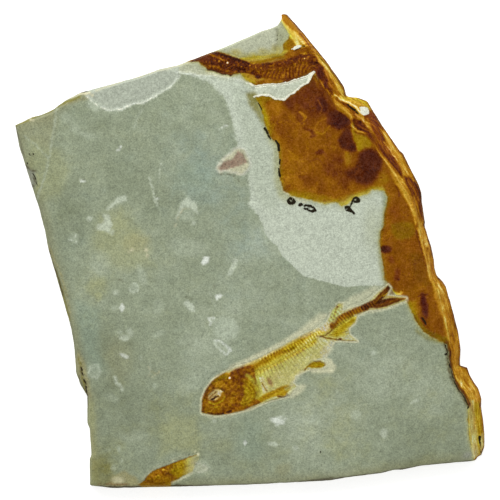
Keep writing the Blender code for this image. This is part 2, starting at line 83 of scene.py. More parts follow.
# Steps in the face: from and to which depth inside the line they run
LEDGE_STEP = (-0.12, 0.35)
SCALLOP_STEP = (-0.12, 0.5)
STAIN_STEP = (0.0, 0.5)
CREST_FOOT = (0.4, 0.9)  # how far from the crest the stained layer starts to drop
CREST_RISE, CREST_SIDE = 0.16, (0.8, 0.1)
RIDGE_RISE, RIDGE_SIDE = 0.35, (0.9, 0.1)
SCALLOP_RINGS = (0.07, 2.2)  # height of the scallop's rings and how close they lie

# Waviness of the stone: height, size of the lumps, octaves, seed
BROAD_WAVES = (0.05, 14.0, 4, 20)
FINE_WAVES = (0.025, 1.5, 2, 22)
UPPER_WAVES = (0.06, 5.0, 2, 25)
FLANK_WAVES = (0.16, 1.8, 3, 26)
SCALLOP_WAVES = (0.05, 2.2, 3, 27)
BACK_WAVES = (0.8, 22.0, 4, 81)
BACK_LEVEL, BACK_RIM = 0.35, 3.0  # where the waves count as spalls, and how far the flat rim reaches

# How fine the meshes are
EDGE_STEP = 0.8
COARSE_STEP = 0.68
FINE_STEP = 0.4  # on the iron-stained ground
COARSE_SPAN, FINE_SPAN = (-9.0, -0.8), (-0.6, 9.0)  # depths in the stain at which each step is used
BACK_STEP = 2.6
SHARP_ANGLE = 55.0
FISH_STEP = 0.22
FILM_BACK_STEP = 1.4
ROW_GAP = 0.16  # between a ridge or a ledge and the rows of points on both its sides
JITTER = 0.12  # how far the points are pushed out of line, as a share of their step

# Layers of the broken edge: height share between the widest line and the face, share of reach
EDGE_LAYERS = (
    (0, 0), (0.06, 0.2), (0.26, 0.24), (0.31, 0.46), (0.51, 0.5), (0.57, 0.72), (0.89, 0.82), (1, 1),
)
LAMINAE = 12
LAMINA_WAVES = (9.0, 3, 40)  # size, octaves and first seed of what makes each lamina's reach vary
LAMINA_SHARE = (0.35, 0.5, 1.5)  # least width of a lamina, and the waves' shift and limit
LAMINA_NOTCH = 0.02  # gap between two laminae, as a share of the wall's height
INWARD_SPAN = 5.0  # length over which the direction of the broken edge is evened out
EDGE_WAVES, EDGE_PUSH = (0.10, 2.2, 3, 31), 0.6
ARRIS_DROP = 0.08
FOOT_HEIGHTS = (1.4, 0.9, 0.35, 0.0)
FOOT_WAVES = (0.05, 4.0, 2, 60)
FOOT_CURVE = 1.5

# Outline seen from above, clockwise from the left corner: x, y, reach of the broken edge
SILHOUETTE = (
    (-79.9, 42.7, 0.8), (-74.4, 45.4, 1.1), (-71.4, 46.1, 1.2), (-69, 47.1, 1.2), (-66.9, 48.1, 1.3),
    (-63.2, 51, 1.3), (-57.8, 53.8, 1.1), (-38.7, 59, 0.9), (-30.6, 61.9, 0.9), (-24.8, 63.1, 0.8),
    (-8.8, 69.2, 0.7), (3.8, 74.7, 0.6), (7.5, 75.9, 0.5), (9.4, 76.7, 0.4), (10.7, 78.9, 0.35),
    (10.6, 80.6, 0.3), (11.6, 80.9, 0.3), (12.6, 80.5, 0.45), (18.4, 74, 1.3), (26.9, 63.4, 1.8),
    (32, 56, 2), (32.9, 52.7, 1.8), (34.4, 52.3, 1.6), (36.6, 52.2, 1.6), (40, 50.9, 2.2), (44.8, 43, 3.2),
    (49.7, 35.9, 4.4), (51, 34, 4.8), (52.1, 33.2, 5), (57.5, 22.5, 4.4), (58.5, 19.6, 3.9),
    (58.6, 16.5, 3.4), (59.7, 9.4, 2.8), (59.5, 8.5, 2.7), (61.6, 1.9, 2.9), (62.8, -3.5, 3),
    (62.9, -5.9, 2.9), (63.7, -8.5, 3.1), (65.5, -10.3, 3.7), (66.8, -12.2, 4), (70.9, -27.3, 4.5),
    (71.8, -33.3, 4.3), (71.5, -39.1, 3.3), (74, -39.8, 4.6), (74.8, -42.2, 5), (76.4, -45, 5),
    (77.9, -47, 4.8), (78.9, -50.5, 5), (78.8, -53, 4.7), (79.9, -62, 5.2), (79.9, -66.8, 4.6),
    (78.8, -69.7, 3.2), (77.7, -70.1, 2.4), (76.9, -71.4, 1.2), (75.9, -71.7, 1), (58.5, -73.2, 0.8),
    (52.1, -74.6, 0.8), (48.8, -74.8, 0.8), (43.6, -76, 0.8), (34.7, -77, 0.8), (27.2, -78.3, 0.8),
    (0, -79.7, 0.8), (-20, -80.3, 0.8), (-46.9, -80.9, 0.8), (-54.5, -80, 0.7), (-54.6, -70.9, 0.8),
    (-54, -69.7, 0.9), (-54.6, -60.5, 0.9), (-55.4, -58.9, 0.9), (-55.4, -49.4, 1.1), (-57.8, -45.5, 1.4),
    (-59.3, -41.3, 1.3), (-59.8, -33.5, 1), (-60.6, -28, 1), (-62.2, -21.6, 1.1), (-68.6, 0.2, 1.4),
    (-69.8, 6.7, 1.5), (-71.9, 14.8, 1.1), (-78.5, 35.2, 0.9),
)

# Crest of the rim, and the second ridge outside it
CREST = (
    (21.8, 60.7), (23.8, 56.8), (27.4, 52.1), (29.3, 50), (35.4, 44.7), (34.9, 42.2), (36.6, 40.7),
    (39.6, 39.5), (41.2, 37.9), (44.6, 31.8), (48.9, 26.7), (51, 23.3), (53.2, 20.3), (55.5, 15.2),
    (56.8, 11.4), (57.3, 7), (58, 3.6), (59, 0.4), (59.6, -2.9), (61.6, -10.5), (63.3, -13.7), (64.6, -17),
    (65.5, -21.2), (66.1, -27), (67.1, -32.6), (67.7, -34.6), (67.5, -36.8), (68.2, -39.8), (69.1, -43),
    (70.5, -46.5), (72.8, -49.1), (74.2, -53), (74, -57.3), (74.7, -64.2), (76.2, -71.4),
)
RIDGE = (
    (10.6, 78.1), (14.3, 74), (18.4, 69.9), (20.4, 68.2), (24.9, 62.8), (27.6, 55.3), (28.9, 52.9),
    (32.3, 50.2), (37.4, 47.1), (39.1, 43), (40.5, 41),
)

# Ledge above the fish's layer, its broken white flank, and the scallop at the upper left
LEDGE = (
    (-25.1, 61.1), (-23.4, 60.4), (-20.7, 60.4), (-18.3, 59.5), (-15.3, 59.4), (-11.2, 59.6), (-6.8, 58.8),
    (-3.4, 57.9), (-1.5, 56.8), (0.4, 56.8), (1.9, 55.6),
)
FLANK_TOP = ((1.9, 55.8), (5.1, 56.3), (11.9, 56.8), (15.7, 57.8), (19.1, 59), (21.8, 60.7))
FLANK_FOOT = (
    (1.4, 52.2), (4.7, 53.1), (6.5, 52.7), (9.2, 51.5), (11.9, 51.5), (14.1, 53.3), (16.3, 54.9),
    (17.4, 56), (19.8, 57.2), (20.4, 58.7), (21.8, 60.7),
)
SCALLOP = (
    (-55.6, 52.4), (-53.3, 50.5), (-50.6, 48.7), (-46.9, 47.7), (-43.8, 48), (-41.3, 49.3), (-38.2, 49.8),
    (-35, 50.9), (-28.5, 54.9), (-26.3, 56.1), (-25.1, 57.8), (-24.1, 59.7),
)

# Edges of the stained layer and of the paler film round it
STAIN_LEFT = (
    (1.7, 52.2), (3.3, 49.5), (4.3, 46.5), (5.2, 42.7), (6.2, 40.1), (7.2, 38.1), (8.9, 36.6), (9.7, 34.5),
    (10.1, 30.1), (10.1, 25.8), (10.3, 24), (11.4, 20.3), (14.1, 18.6), (20.4, 17.2), (25.3, 15.9),
    (29.3, 16.5), (31.3, 15.2), (32.9, 15.5), (34.9, 17.3), (37.1, 18.5), (39.9, 19.2), (41.7, 20.8),
    (45.6, 20.4), (46.8, 18.2), (46.4, 15.2), (45.6, 12.4), (45.4, 8), (44.3, 6.3), (44.1, 2.6),
    (44.5, -0.6), (45.3, -5.1), (45.8, -9.8), (47.1, -11.6), (50.2, -15.8), (53.5, -17.6), (56.4, -24.1),
    (58.9, -27.5), (61.9, -29.6), (66.9, -31.8),
)
FILM_LEFT = (
    (-22.1, 60.4), (-13.4, 57), (-8.8, 51.9), (-7.4, 48.5), (-6.1, 44.4), (-5.1, 39.3), (-4, 35.2),
    (-1.3, 33.5), (0, 29.1), (-0.6, 24), (0, 18.9), (-0.6, 15.5), (2.1, 12.8), (4.1, 9.7), (4.8, 6.3),
    (6.8, 3.6), (9.2, 1.6), (10.9, -1.8), (13.6, -4.2), (18.1, -8.6), (22.1, -9.7), (32.3, -12.4),
    (37.4, -12), (45.3, -11.8),
)


# ---------------------------------------------------------------- numbers in the plane

LATTICE = np.random.default_rng(11).random((256, 256))


def ripple(x, y, size, seed=0):
    """Smooth random height between -1 and 1, in lumps of the given size."""
    gx, gy = x / size + 17.3 * seed, y / size - 9.1 * seed
    ix, iy = np.floor(gx).astype(int), np.floor(gy).astype(int)
    fx, fy = gx - ix, gy - iy
    fx, fy = fx * fx * (3 - 2 * fx), fy * fy * (3 - 2 * fy)
    corner = [[LATTICE[(ix + i) % 256, (iy + j) % 256] for j in (0, 1)] for i in (0, 1)]
    left = corner[0][0] * (1 - fy) + corner[0][1] * fy
    right = corner[1][0] * (1 - fy) + corner[1][1] * fy
    return 2 * (left * (1 - fx) + right * fx) - 1


def rough(x, y, size, octaves=3, seed=0):
    """Ripples on ripples, each half the size and six tenths the height of the last."""
    total = 0.0 * x
    for k in range(octaves):
        total = total + 0.6 ** k * ripple(x, y, size / 2 ** k, seed + k)
    return total


def smooth(value, low=0.0, high=1.0):
    t = np.clip((value - low) / (high - low), 0.0, 1.0)
    return t * t * (3 - 2 * t)


def resampled(points, step, closed=False):
    """The same line with a point every step."""
    p = np.asarray(points, float)[:, :2]
    if closed:
        p = np.vstack([p, p[:1]])
    length = np.concatenate([[0], np.cumsum(np.hypot(*np.diff(p, axis=0).T))])
    count = max(int(round(length[-1] / step)), 2)
    at = np.linspace(0, length[-1], count + 1)
    if closed:
        at = at[:-1]
    return np.column_stack([np.interp(at, length, p[:, k]) for k in (0, 1)])


def normals(points, closed=False):
    """Unit vectors to the right of each point's direction of travel."""
    if closed:
        d = np.roll(points, -1, 0) - np.roll(points, 1, 0)
    else:
        d = np.gradient(points, axis=0)
    d = d / np.maximum(np.hypot(*d.T), 1e-9)[:, None]
    return np.column_stack([d[:, 1], -d[:, 0]])


def broken(points, step=0.4, wander=0.16, seed=1, closed=False):
    """A traced line with the small wander of a broken edge."""
    p = resampled(points, step, closed)
    n = normals(p, closed)
    push = wander * rough(p[:, 0], p[:, 1], 1.6, 3, seed)
    return p + push[:, None] * n


def off_line(xy, line, reach=3.0):
    """Distance from an open line, and whether the point is on the right of its travel."""
    line = np.asarray(line, float)
    gap = np.full(len(xy), reach)
    side = np.zeros(len(xy))
    low, high = line.min(0) - reach, line.max(0) + reach
    near = np.nonzero(np.all((xy > low) & (xy < high), axis=1))[0]
    p = xy[near]
    best = np.full(len(p), reach)
    where = np.zeros(len(p))
    for a, b in zip(line[:-1], line[1:]):
        d = b - a
        t = np.clip(((p - a) @ d) / max(d @ d, 1e-12), 0, 1)
        off = p - a - t[:, None] * d
        dist = np.hypot(*off.T)
        closer = dist < best
        best = np.where(closer, dist, best)
        where = np.where(closer, np.sign(d[1] * off[:, 0] - d[0] * off[:, 1]), where)
    gap[near], side[near] = best, where
    return gap, side


def depth_in(xy, outline, reach=3.0):
    """How deep a point lies inside a closed outline, negative outside, no more than reach."""
    outline = np.asarray(outline, float)[:, :2]
    depth = np.full(len(xy), -reach)
    low, high = outline.min(0) - reach, outline.max(0) + reach
    near = np.nonzero(np.all((xy > low) & (xy < high), axis=1))[0]
    p = xy[near]
    best = np.full(len(p), reach)
    inside = np.zeros(len(p), bool)
    for a, b in zip(outline, np.roll(outline, -1, 0)):
        d = b - a
        if not d @ d:
            continue
        t = np.clip(((p - a) @ d) / (d @ d), 0, 1)
        off = p - a - t[:, None] * d
        best = np.minimum(best, np.hypot(*off.T))
        if d[1]:
            spans = (a[1] > p[:, 1]) != (b[1] > p[:, 1])
            inside ^= spans & (p[:, 0] < a[0] + (p[:, 1] - a[1]) / d[1] * d[0])
    depth[near] = np.where(inside, best, -best)
    return depth


# ---------------------------------------------------------------- heights of the stone

CREST_LINE = broken(CREST, wander=0.12, seed=3)
RIDGE_LINE = broken(RIDGE, wander=0.1, seed=4)
LEDGE_LINE = broken(LEDGE + FLANK_TOP[1:], wander=0.16, seed=5)
FLANK_LINE = broken(FLANK_FOOT, wander=0.16, seed=6)
SCALLOP_LINE = broken(SCALLOP, wander=0.14, seed=7)
BEYOND_CREST = ((76.2, -90), (120, -90), (120, 90), (12, 100), (-30, 90), (-40, 64))
BEYOND_RIM = ((90, -90), (120, 90), (12, 100), (8, 90), (10.2, 78))
ABOVE_SCALLOP = ((-24, 80), (-62, 70))
FILM_RIGHT = ((47, -11), (45, 20), (10, 52), (1.4, 52.2))
FLANK_LEFT = 1.0  # x at which the broken flank starts
STAIN_FOOT = -32.0  # y at which the stain left of the crest ends

UPPER_AREA = np.vstack([LEDGE_LINE, CREST_LINE[1:], BEYOND_CREST])
FLANK_AREA = np.vstack([LEDGE_LINE[LEDGE_LINE[:, 0] > FLANK_LEFT], FLANK_LINE[::-1]])
SCALLOP_AREA = np.vstack([SCALLOP_LINE, ABOVE_SCALLOP])
STAINED_SIDE = CREST_LINE[CREST_LINE[:, 1] > STAIN_FOOT][::-1]
STAIN_AREA = np.vstack([STAIN_LEFT, STAINED_SIDE, FLANK_LINE[::-1]])
RIM_AREA = np.vstack([CREST_LINE, BEYOND_RIM, RIDGE_LINE[:1]])
FILM_AREA = np.vstack([FILM_LEFT, FILM_RIGHT, LEDGE_LINE[::-1]])


def waves(xy, height, size, octaves, seed):
    """Rough ground of the given height."""
    return height * rough(*xy.T, size, octaves, seed)


def stone_height(xy):
    """Height of the fossil face above the resting plane."""
    z = FACE + waves(xy, *BROAD_WAVES) + waves(xy, *FINE_WAVES)
    upper = depth_in(xy, UPPER_AREA, 4.0)
    flank = depth_in(xy, FLANK_AREA, 4.0)
    scallop = depth_in(xy, SCALLOP_AREA, 4.0)
    stain = depth_in(xy, STAIN_AREA, 2.0)
    past_crest, _ = off_line(xy, CREST_LINE, 6.0)
    past_ridge, _ = off_line(xy, RIDGE_LINE, 3.0)
    top, _ = off_line(xy, LEDGE_LINE, 8.0)
    foot, _ = off_line(xy, FLANK_LINE, 8.0)
    drop = (FACE - UPPER_PLANE) * smooth(upper, *LEDGE_STEP)
    drop = np.where(upper > LEDGE_STEP[1], drop + waves(xy, *UPPER_WAVES), drop)
    slope = (FACE - UPPER_PLANE) * foot / np.maximum(foot + top, 0.01)
    slope = slope + waves(xy, *FLANK_WAVES) * np.sqrt(np.clip(flank, 0, 1))
    drop = np.where(flank > 0, slope, drop)
    drop = np.maximum(drop, (FACE - SCALLOP_FLOOR) * smooth(scallop, *SCALLOP_STEP))
    rise, closeness = SCALLOP_RINGS
    rings = rise * np.sin(scallop * closeness) + waves(xy, *SCALLOP_WAVES)
    drop = drop + np.where(scallop > 0.3, rings, 0)
    drop = drop + STAIN_DROP * smooth(stain, *STAIN_STEP) * smooth(past_crest, *CREST_FOOT)
    z = z - drop
    z = z + CREST_RISE * smooth(past_crest, *CREST_SIDE)
    z = z + np.where(upper > 0, RIDGE_RISE * smooth(past_ridge, *RIDGE_SIDE), 0)
    return z


# ---------------------------------------------------------------- the slab's mesh


def edge_rings(outline):
    """Rings of the broken edge from the face down to the resting plane, each a list of x, y, z."""
    base = resampled(outline, EDGE_STEP, True)
    traced = np.asarray(outline, float)
    closed = np.vstack([traced, traced[:1]])
    length = np.concatenate([[0], np.cumsum(np.hypot(*np.diff(closed[:, :2], axis=0).T))])
    at = np.linspace(0, length[-1], len(base) + 1)[:-1]
    reach = np.interp(at, length, closed[:, 2])
    inward = normals(base, True)
    span = int(INWARD_SPAN / EDGE_STEP)
    inward = sum(np.roll(inward, k, 0) for k in range(-span, span + 1))
    inward = inward / np.hypot(*inward.T)[:, None]
    own = normals(base, True)
    x, y = base.T
    push, *lumps = EDGE_WAVES
    base = base + (push * (rough(x, y, *lumps) + 1.0))[:, None] * own * EDGE_PUSH
    size, octaves, seed = LAMINA_WAVES
    least, shift, most = LAMINA_SHARE
    ground = [rough(x, y, size, octaves, seed + k) for k in range(LAMINAE)]
    weights = np.array([least + np.clip(each + shift, 0.0, most) for each in ground])
    wander = np.cumsum(weights, 0) / weights.sum(0)
    rings = []
    face = None
    heights, shares = np.array(EDGE_LAYERS).T
    for k in range(LAMINAE, -1, -1):
        level = k / LAMINAE
        for upper_side in (True, False):
            if (k == LAMINAE and not upper_side) or (k == 0 and upper_side):
                continue
            share = np.interp(level, heights, shares)
            loose = wander[k - 1] if k else 0 * reach
            below = wander[k - 2] if k > 1 else 0 * reach
            stand = 0.5 * share + 0.5 * (loose if upper_side else below)
            if k == LAMINAE:
                stand = 1.0 + 0 * reach
            if k == 0:
                stand = 0 * reach
            xy = base + (stand * reach)[:, None] * inward
            if face is None:
                face = stone_height(xy) - ARRIS_DROP
                z = face
            else:
                z = WIDEST + (face - WIDEST) * (level - (0.0 if upper_side else LAMINA_NOTCH))
            rings.append(np.column_stack([xy, z]))
    push, size, octaves, seed = FOOT_WAVES
    for z in FOOT_HEIGHTS:
        stand = FLOOR_INSET * (1 - z / WIDEST) ** FOOT_CURVE
        stand = stand + push * (1 + rough(x, y, size, octaves, seed + int(z * 10)))
        xy = base + (stand * reach)[:, None] * inward
        rings.append(np.column_stack([xy, np.full(len(xy), z)]))
    return rings


def lattice(low, high, step):
    """A staggered grid of points."""
    rows = np.arange(low[1], high[1], step * math.sqrt(0.75))
    columns = np.arange(low[0], high[0], step)
    return np.array([(c + (0.5 * step if k % 2 else 0.0), r) for k, r in enumerate(rows) for c in columns])


def triangulated(ring, inner):
    """Points and triangles that fill a closed ring, through the inner points. The ring comes first."""
    points = np.vstack([ring, inner])
    boundary = list(range(len(ring)))
    corners = [Vector(p) for p in points]
    _, _, faces, origin, _, _ = geometry.delaunay_2d_cdt(corners, [], [boundary], 1, 1e-6, True)
    order = np.array([o[0] for o in origin])
    assert sorted(order) == list(range(len(points)))
    faces = order[np.array(faces)]
    # the hull's triangles outside the ring have all three corners on it
    outside = np.all(faces < len(ring), axis=1)
    outside &= depth_in(points[faces].mean(1), ring, 0.5) <= 0
    return faces[~outside]


def facing(points, triangles, up):
    """Triangles turned so that they all face up, or all down."""
    a, b, c = (points[triangles[:, k], :2] for k in range(3))
    turn = (b[:, 0] - a[:, 0]) * (c[:, 1] - a[:, 1]) - (b[:, 1] - a[:, 1]) * (c[:, 0] - a[:, 0])
    flip = (turn > 0) != up
    triangles = triangles.copy()
    triangles[flip] = triangles[flip][:, ::-1]
    return triangles


def scattered(ring, step):
    """Lattice points over a ring's box, each pushed a little out of line."""
    grid = lattice(ring.min(0), ring.max(0), step)
    x, y = grid.T
    pushes = [ripple(x, y, step * 1.7, seed) for seed in (71, 72)]
    return grid + JITTER * step * np.column_stack(pushes)


def inner_points(ring, grid, keep_off, rows=(), clear=0.3):
    """The grid's points inside a ring, with the rows' points in place of those near them."""
    for row in rows:
        grid = grid[off_line(grid, row, 1.0)[0] > clear]
    points = np.vstack([grid, *rows])
    return points[depth_in(points, ring, 1.0) > keep_off]


def face_grid(ring):
    """Lattice points of the fossil face, finer on the iron-stained ground."""
    parts = []
    for step, (low, high) in ((COARSE_STEP, COARSE_SPAN), (FINE_STEP, FINE_SPAN)):
        grid = scattered(ring, step)
        stained = np.maximum.reduce([depth_in(grid, area) for area in (STAIN_AREA, RIM_AREA, UPPER_STAIN)])
        parts.append(grid[(stained > low) & (stained < high)])
    return np.vstack(parts)


def new_mesh(name, points, triangles, attributes, material):
    """A mesh object from points in millimetres."""
    mesh = bpy.data.meshes.new(name)
    mesh.vertices.add(len(points))
    mesh.vertices.foreach_set("co", (points * MM).astype(np.float32).ravel())
    mesh.loops.add(3 * len(triangles))
    mesh.loops.foreach_set("vertex_index", triangles.astype(np.int32).ravel())
    mesh.polygons.add(len(triangles))
    mesh.polygons.foreach_set("loop_start", np.arange(0, 3 * len(triangles), 3, dtype=np.int32))
    mesh.update(calc_edges=True)
    mesh.validate()
    mesh.polygons.foreach_set("use_smooth", np.ones(len(triangles), bool))
    mesh.set_sharp_from_angle(angle=math.radians(SHARP_ANGLE))
    for key, values in attributes.items():
        values = np.asarray(values, np.float32)
        if values.ndim == 1:
            mesh.attributes.new(key, "FLOAT", "POINT").data.foreach_set("value", values)
        else:
            mesh.attributes.new(key, "FLOAT_COLOR", "POINT").data.foreach_set("color", values.ravel())
    mesh.materials.append(material)
    thing = bpy.data.objects.new(name, mesh)
    bpy.context.scene.collection.objects.link(thing)
    return thing


def solid(rings, inner, under):
    """A closed solid: the first ring filled, walls down to the last ring, and an underside."""
    count = len(rings[0])
    top_faces = triangulated(rings[0][:, :2], inner[:, :2])
    under_faces = triangulated(rings[-1][:, :2], under[:, :2])
    points = [rings[0], inner]
    triangles = [facing(np.vstack(points), top_faces, True)]
    start = count + len(inner)
    above = np.arange(count)
    for ring in rings[1:]:
        below = start + np.arange(count)
        points.append(ring)
        triangles.append(np.column_stack([above, np.roll(above, -1), below]))
        triangles.append(np.column_stack([np.roll(above, -1), np.roll(below, -1), below]))
        above = below
        start += count
    index = np.concatenate([above, start + np.arange(len(under))])
    triangles.append(index[facing(np.vstack([rings[-1], under]), under_faces, False)])
    points.append(under)
    return np.vstack(points), np.vstack(triangles)


def make_slab(material):
    rings = edge_rings(SILHOUETTE)
    low = np.array(CAD_LOW) / MM + CAD_GAP
    high = np.array(CAD_HIGH) / MM - CAD_GAP
    rings = [np.clip(r, low - (0, 0, CAD_GAP), high) for r in rings]
    rows = []
    for line in (CREST_LINE, RIDGE_LINE, LEDGE_LINE, FLANK_LINE, SCALLOP_LINE):
        rows += [line + ROW_GAP * normals(line), line - ROW_GAP * normals(line)]
    films = [film_ring(film) for film in (MAIN_FILM, UPPER_FILM, LOWER_FILM)]
    for film in films:
        rows += [film, film + POCKET_SLOPE * normals(film, True)]
    ring = rings[0][:, :2]
    inner = inner_points(ring, face_grid(ring), 0.3, rows)
    pocket = np.maximum.reduce([depth_in(inner, film, 1.0) for film in films])
    top = np.column_stack([inner, stone_height(inner) - POCKET * smooth(pocket, 0.01, POCKET_SLOPE)])
    foot = rings[-1][:, :2]
    under = inner_points(foot, scattered(foot, BACK_STEP), 0.8)
    points, triangles = solid(rings, top, np.column_stack([under, back_height(under)]))
    return new_mesh("shale_slab_stone", points, triangles, Paint(points).attributes(), material)


def back_height(xy):
    """Height of the underside: flat where the slab rests, with shallow spalls."""
    depth, *lumps = BACK_WAVES
    dents = np.clip(rough(*xy.T, *lumps) - BACK_LEVEL, 0, 1) * depth
    return np.where(depth_in(xy, SILHOUETTE, BACK_RIM + 1) > BACK_RIM, dents, 0.0)


# ---------------------------------------------------------------- marks on the stone

AREA, STROKE, SPOT = "area", "stroke", "spot"

# Iron-stained ground outside the main stain: the upper fish's surroundings
UPPER_STAIN = (
    (11.3, 70.2), (13.9, 73.3), (11.6, 76.4), (10.6, 78.1), (14.7, 74.3), (17, 71.6), (18.7, 69.2),
    (21.1, 66.2), (24.5, 61.4), (27.9, 54.6), (30.6, 51.2), (35.4, 44.7), (29.3, 50), (25.9, 54.1),
    (21.8, 60.7), (19.1, 59.5), (15.7, 57.9), (11.3, 56.8), (6.2, 56.3), (1.9, 56), (-1.3, 58),
    (-3.4, 60.2), (-6.4, 59.4), (-9.9, 60), (-12.5, 61.1), (-14.6, 61.2), (-15.1, 62.3), (-16.7, 63.1),
    (-17.7, 64.2), (-20.4, 64.1), (-21.7, 64.3), (-17, 66.2), (-13.6, 67.4), (-10.9, 67.9), (-7.3, 66.8),
    (-4, 65.5), (-1.3, 65.5), (1.4, 66.2), (4.5, 66.2), (6.6, 66.7), (10.4, 67), (11.3, 67.9),
)
UPPER_FISH = (
    (-20.4, 64.2), (-17, 65.8), (-13.1, 67.3), (-10.9, 67.3), (-7.3, 66.3), (-3, 64.7), (-1.3, 63.8),
    (2.8, 64.1), (6.8, 64.1), (10.6, 64.1), (13.6, 65.5), (17.4, 66.8), (21.1, 66.8), (23.2, 64.8),
    (21.8, 61.1), (19.1, 59.7), (15.7, 58.7), (11.3, 58), (6.2, 58.7), (2.8, 59.4), (-1.3, 60.4),
    (-4.7, 60), (-9.5, 60.4), (-13.9, 61.4), (-14.9, 62.8), (-17.3, 64.2),
)
LOWER_FISH = (
    (-36.1, -78.2), (-33.9, -75.4), (-31.8, -74.3), (-27.9, -72.8), (-25.2, -71.8), (-22.6, -70.8),
    (-19.7, -69.7), (-17.4, -69.2), (-17.3, -70.5), (-19.7, -75.3), (-22.6, -76.6), (-25.2, -78.2),
    (-26.6, -79.3), (-27, -80.6), (-36.4, -80.6), (-37.9, -79.6),
)

MAIN_BODY = (
    (-16.6, -54.8), (-16.4, -50.6), (-15.3, -47.4), (-12.5, -43.8), (-8.9, -41.5), (-5.1, -39.6),
    (1.1, -37.4), (4.1, -36), (6.8, -34.5), (10.2, -32.8), (12.6, -31.4), (15.7, -29.7), (18.1, -28.5),
    (20.4, -27.5), (22.8, -26.5), (24.9, -25.6), (26.4, -23.9), (28, -20.2), (30, -18), (31.8, -17.9),
    (31.4, -20.6), (34, -19.7), (37.6, -18.6), (40.4, -17.2), (43.8, -14), (47, -11.6), (47.9, -12.7),
    (46.6, -15.2), (53.2, -16), (53.2, -16.9), (45.9, -19.7), (40.2, -20.4), (36.6, -22), (35.8, -24.5),
    (33.6, -26.5), (33.9, -28.6), (36.6, -30.9), (30.6, -30.7), (28.6, -30.9), (27.2, -33.8), (25.7, -36.2),
    (21.4, -37.4), (24, -37.2), (26.4, -38.4), (24.5, -40.1), (19.4, -40.6), (15.7, -42.6), (14.6, -45),
    (15.9, -46.2), (13.3, -49.5), (7, -51), (3.6, -52.4), (0, -54), (-5, -55.2), (-11.1, -56.2),
    (-16.3, -55.4),
)

HEAD = (
    (-16.4, -50.6), (-16.1, -49.1), (-15.3, -47.4), (-14.1, -45.3), (-12.5, -43.8), (-11.1, -42.2),
    (-8.9, -41.5), (-7.1, -41.5), (-5.1, -40.1), (-2, -39.5), (1.1, -38.9), (2.3, -45), (2.9, -47.4),
    (1.8, -50.3), (4.1, -51.5), (1.1, -53), (-2, -54.4), (-5, -55), (-8, -55.9), (-11.1, -56),
    (-14.1, -55.8), (-16.3, -55), (-16.6, -54.8),
)

# The slab's right outline, from the tip down to the lower corner
RIGHT_OUTLINE = [corner[:2] for corner in SILHOUETTE[16:55]]

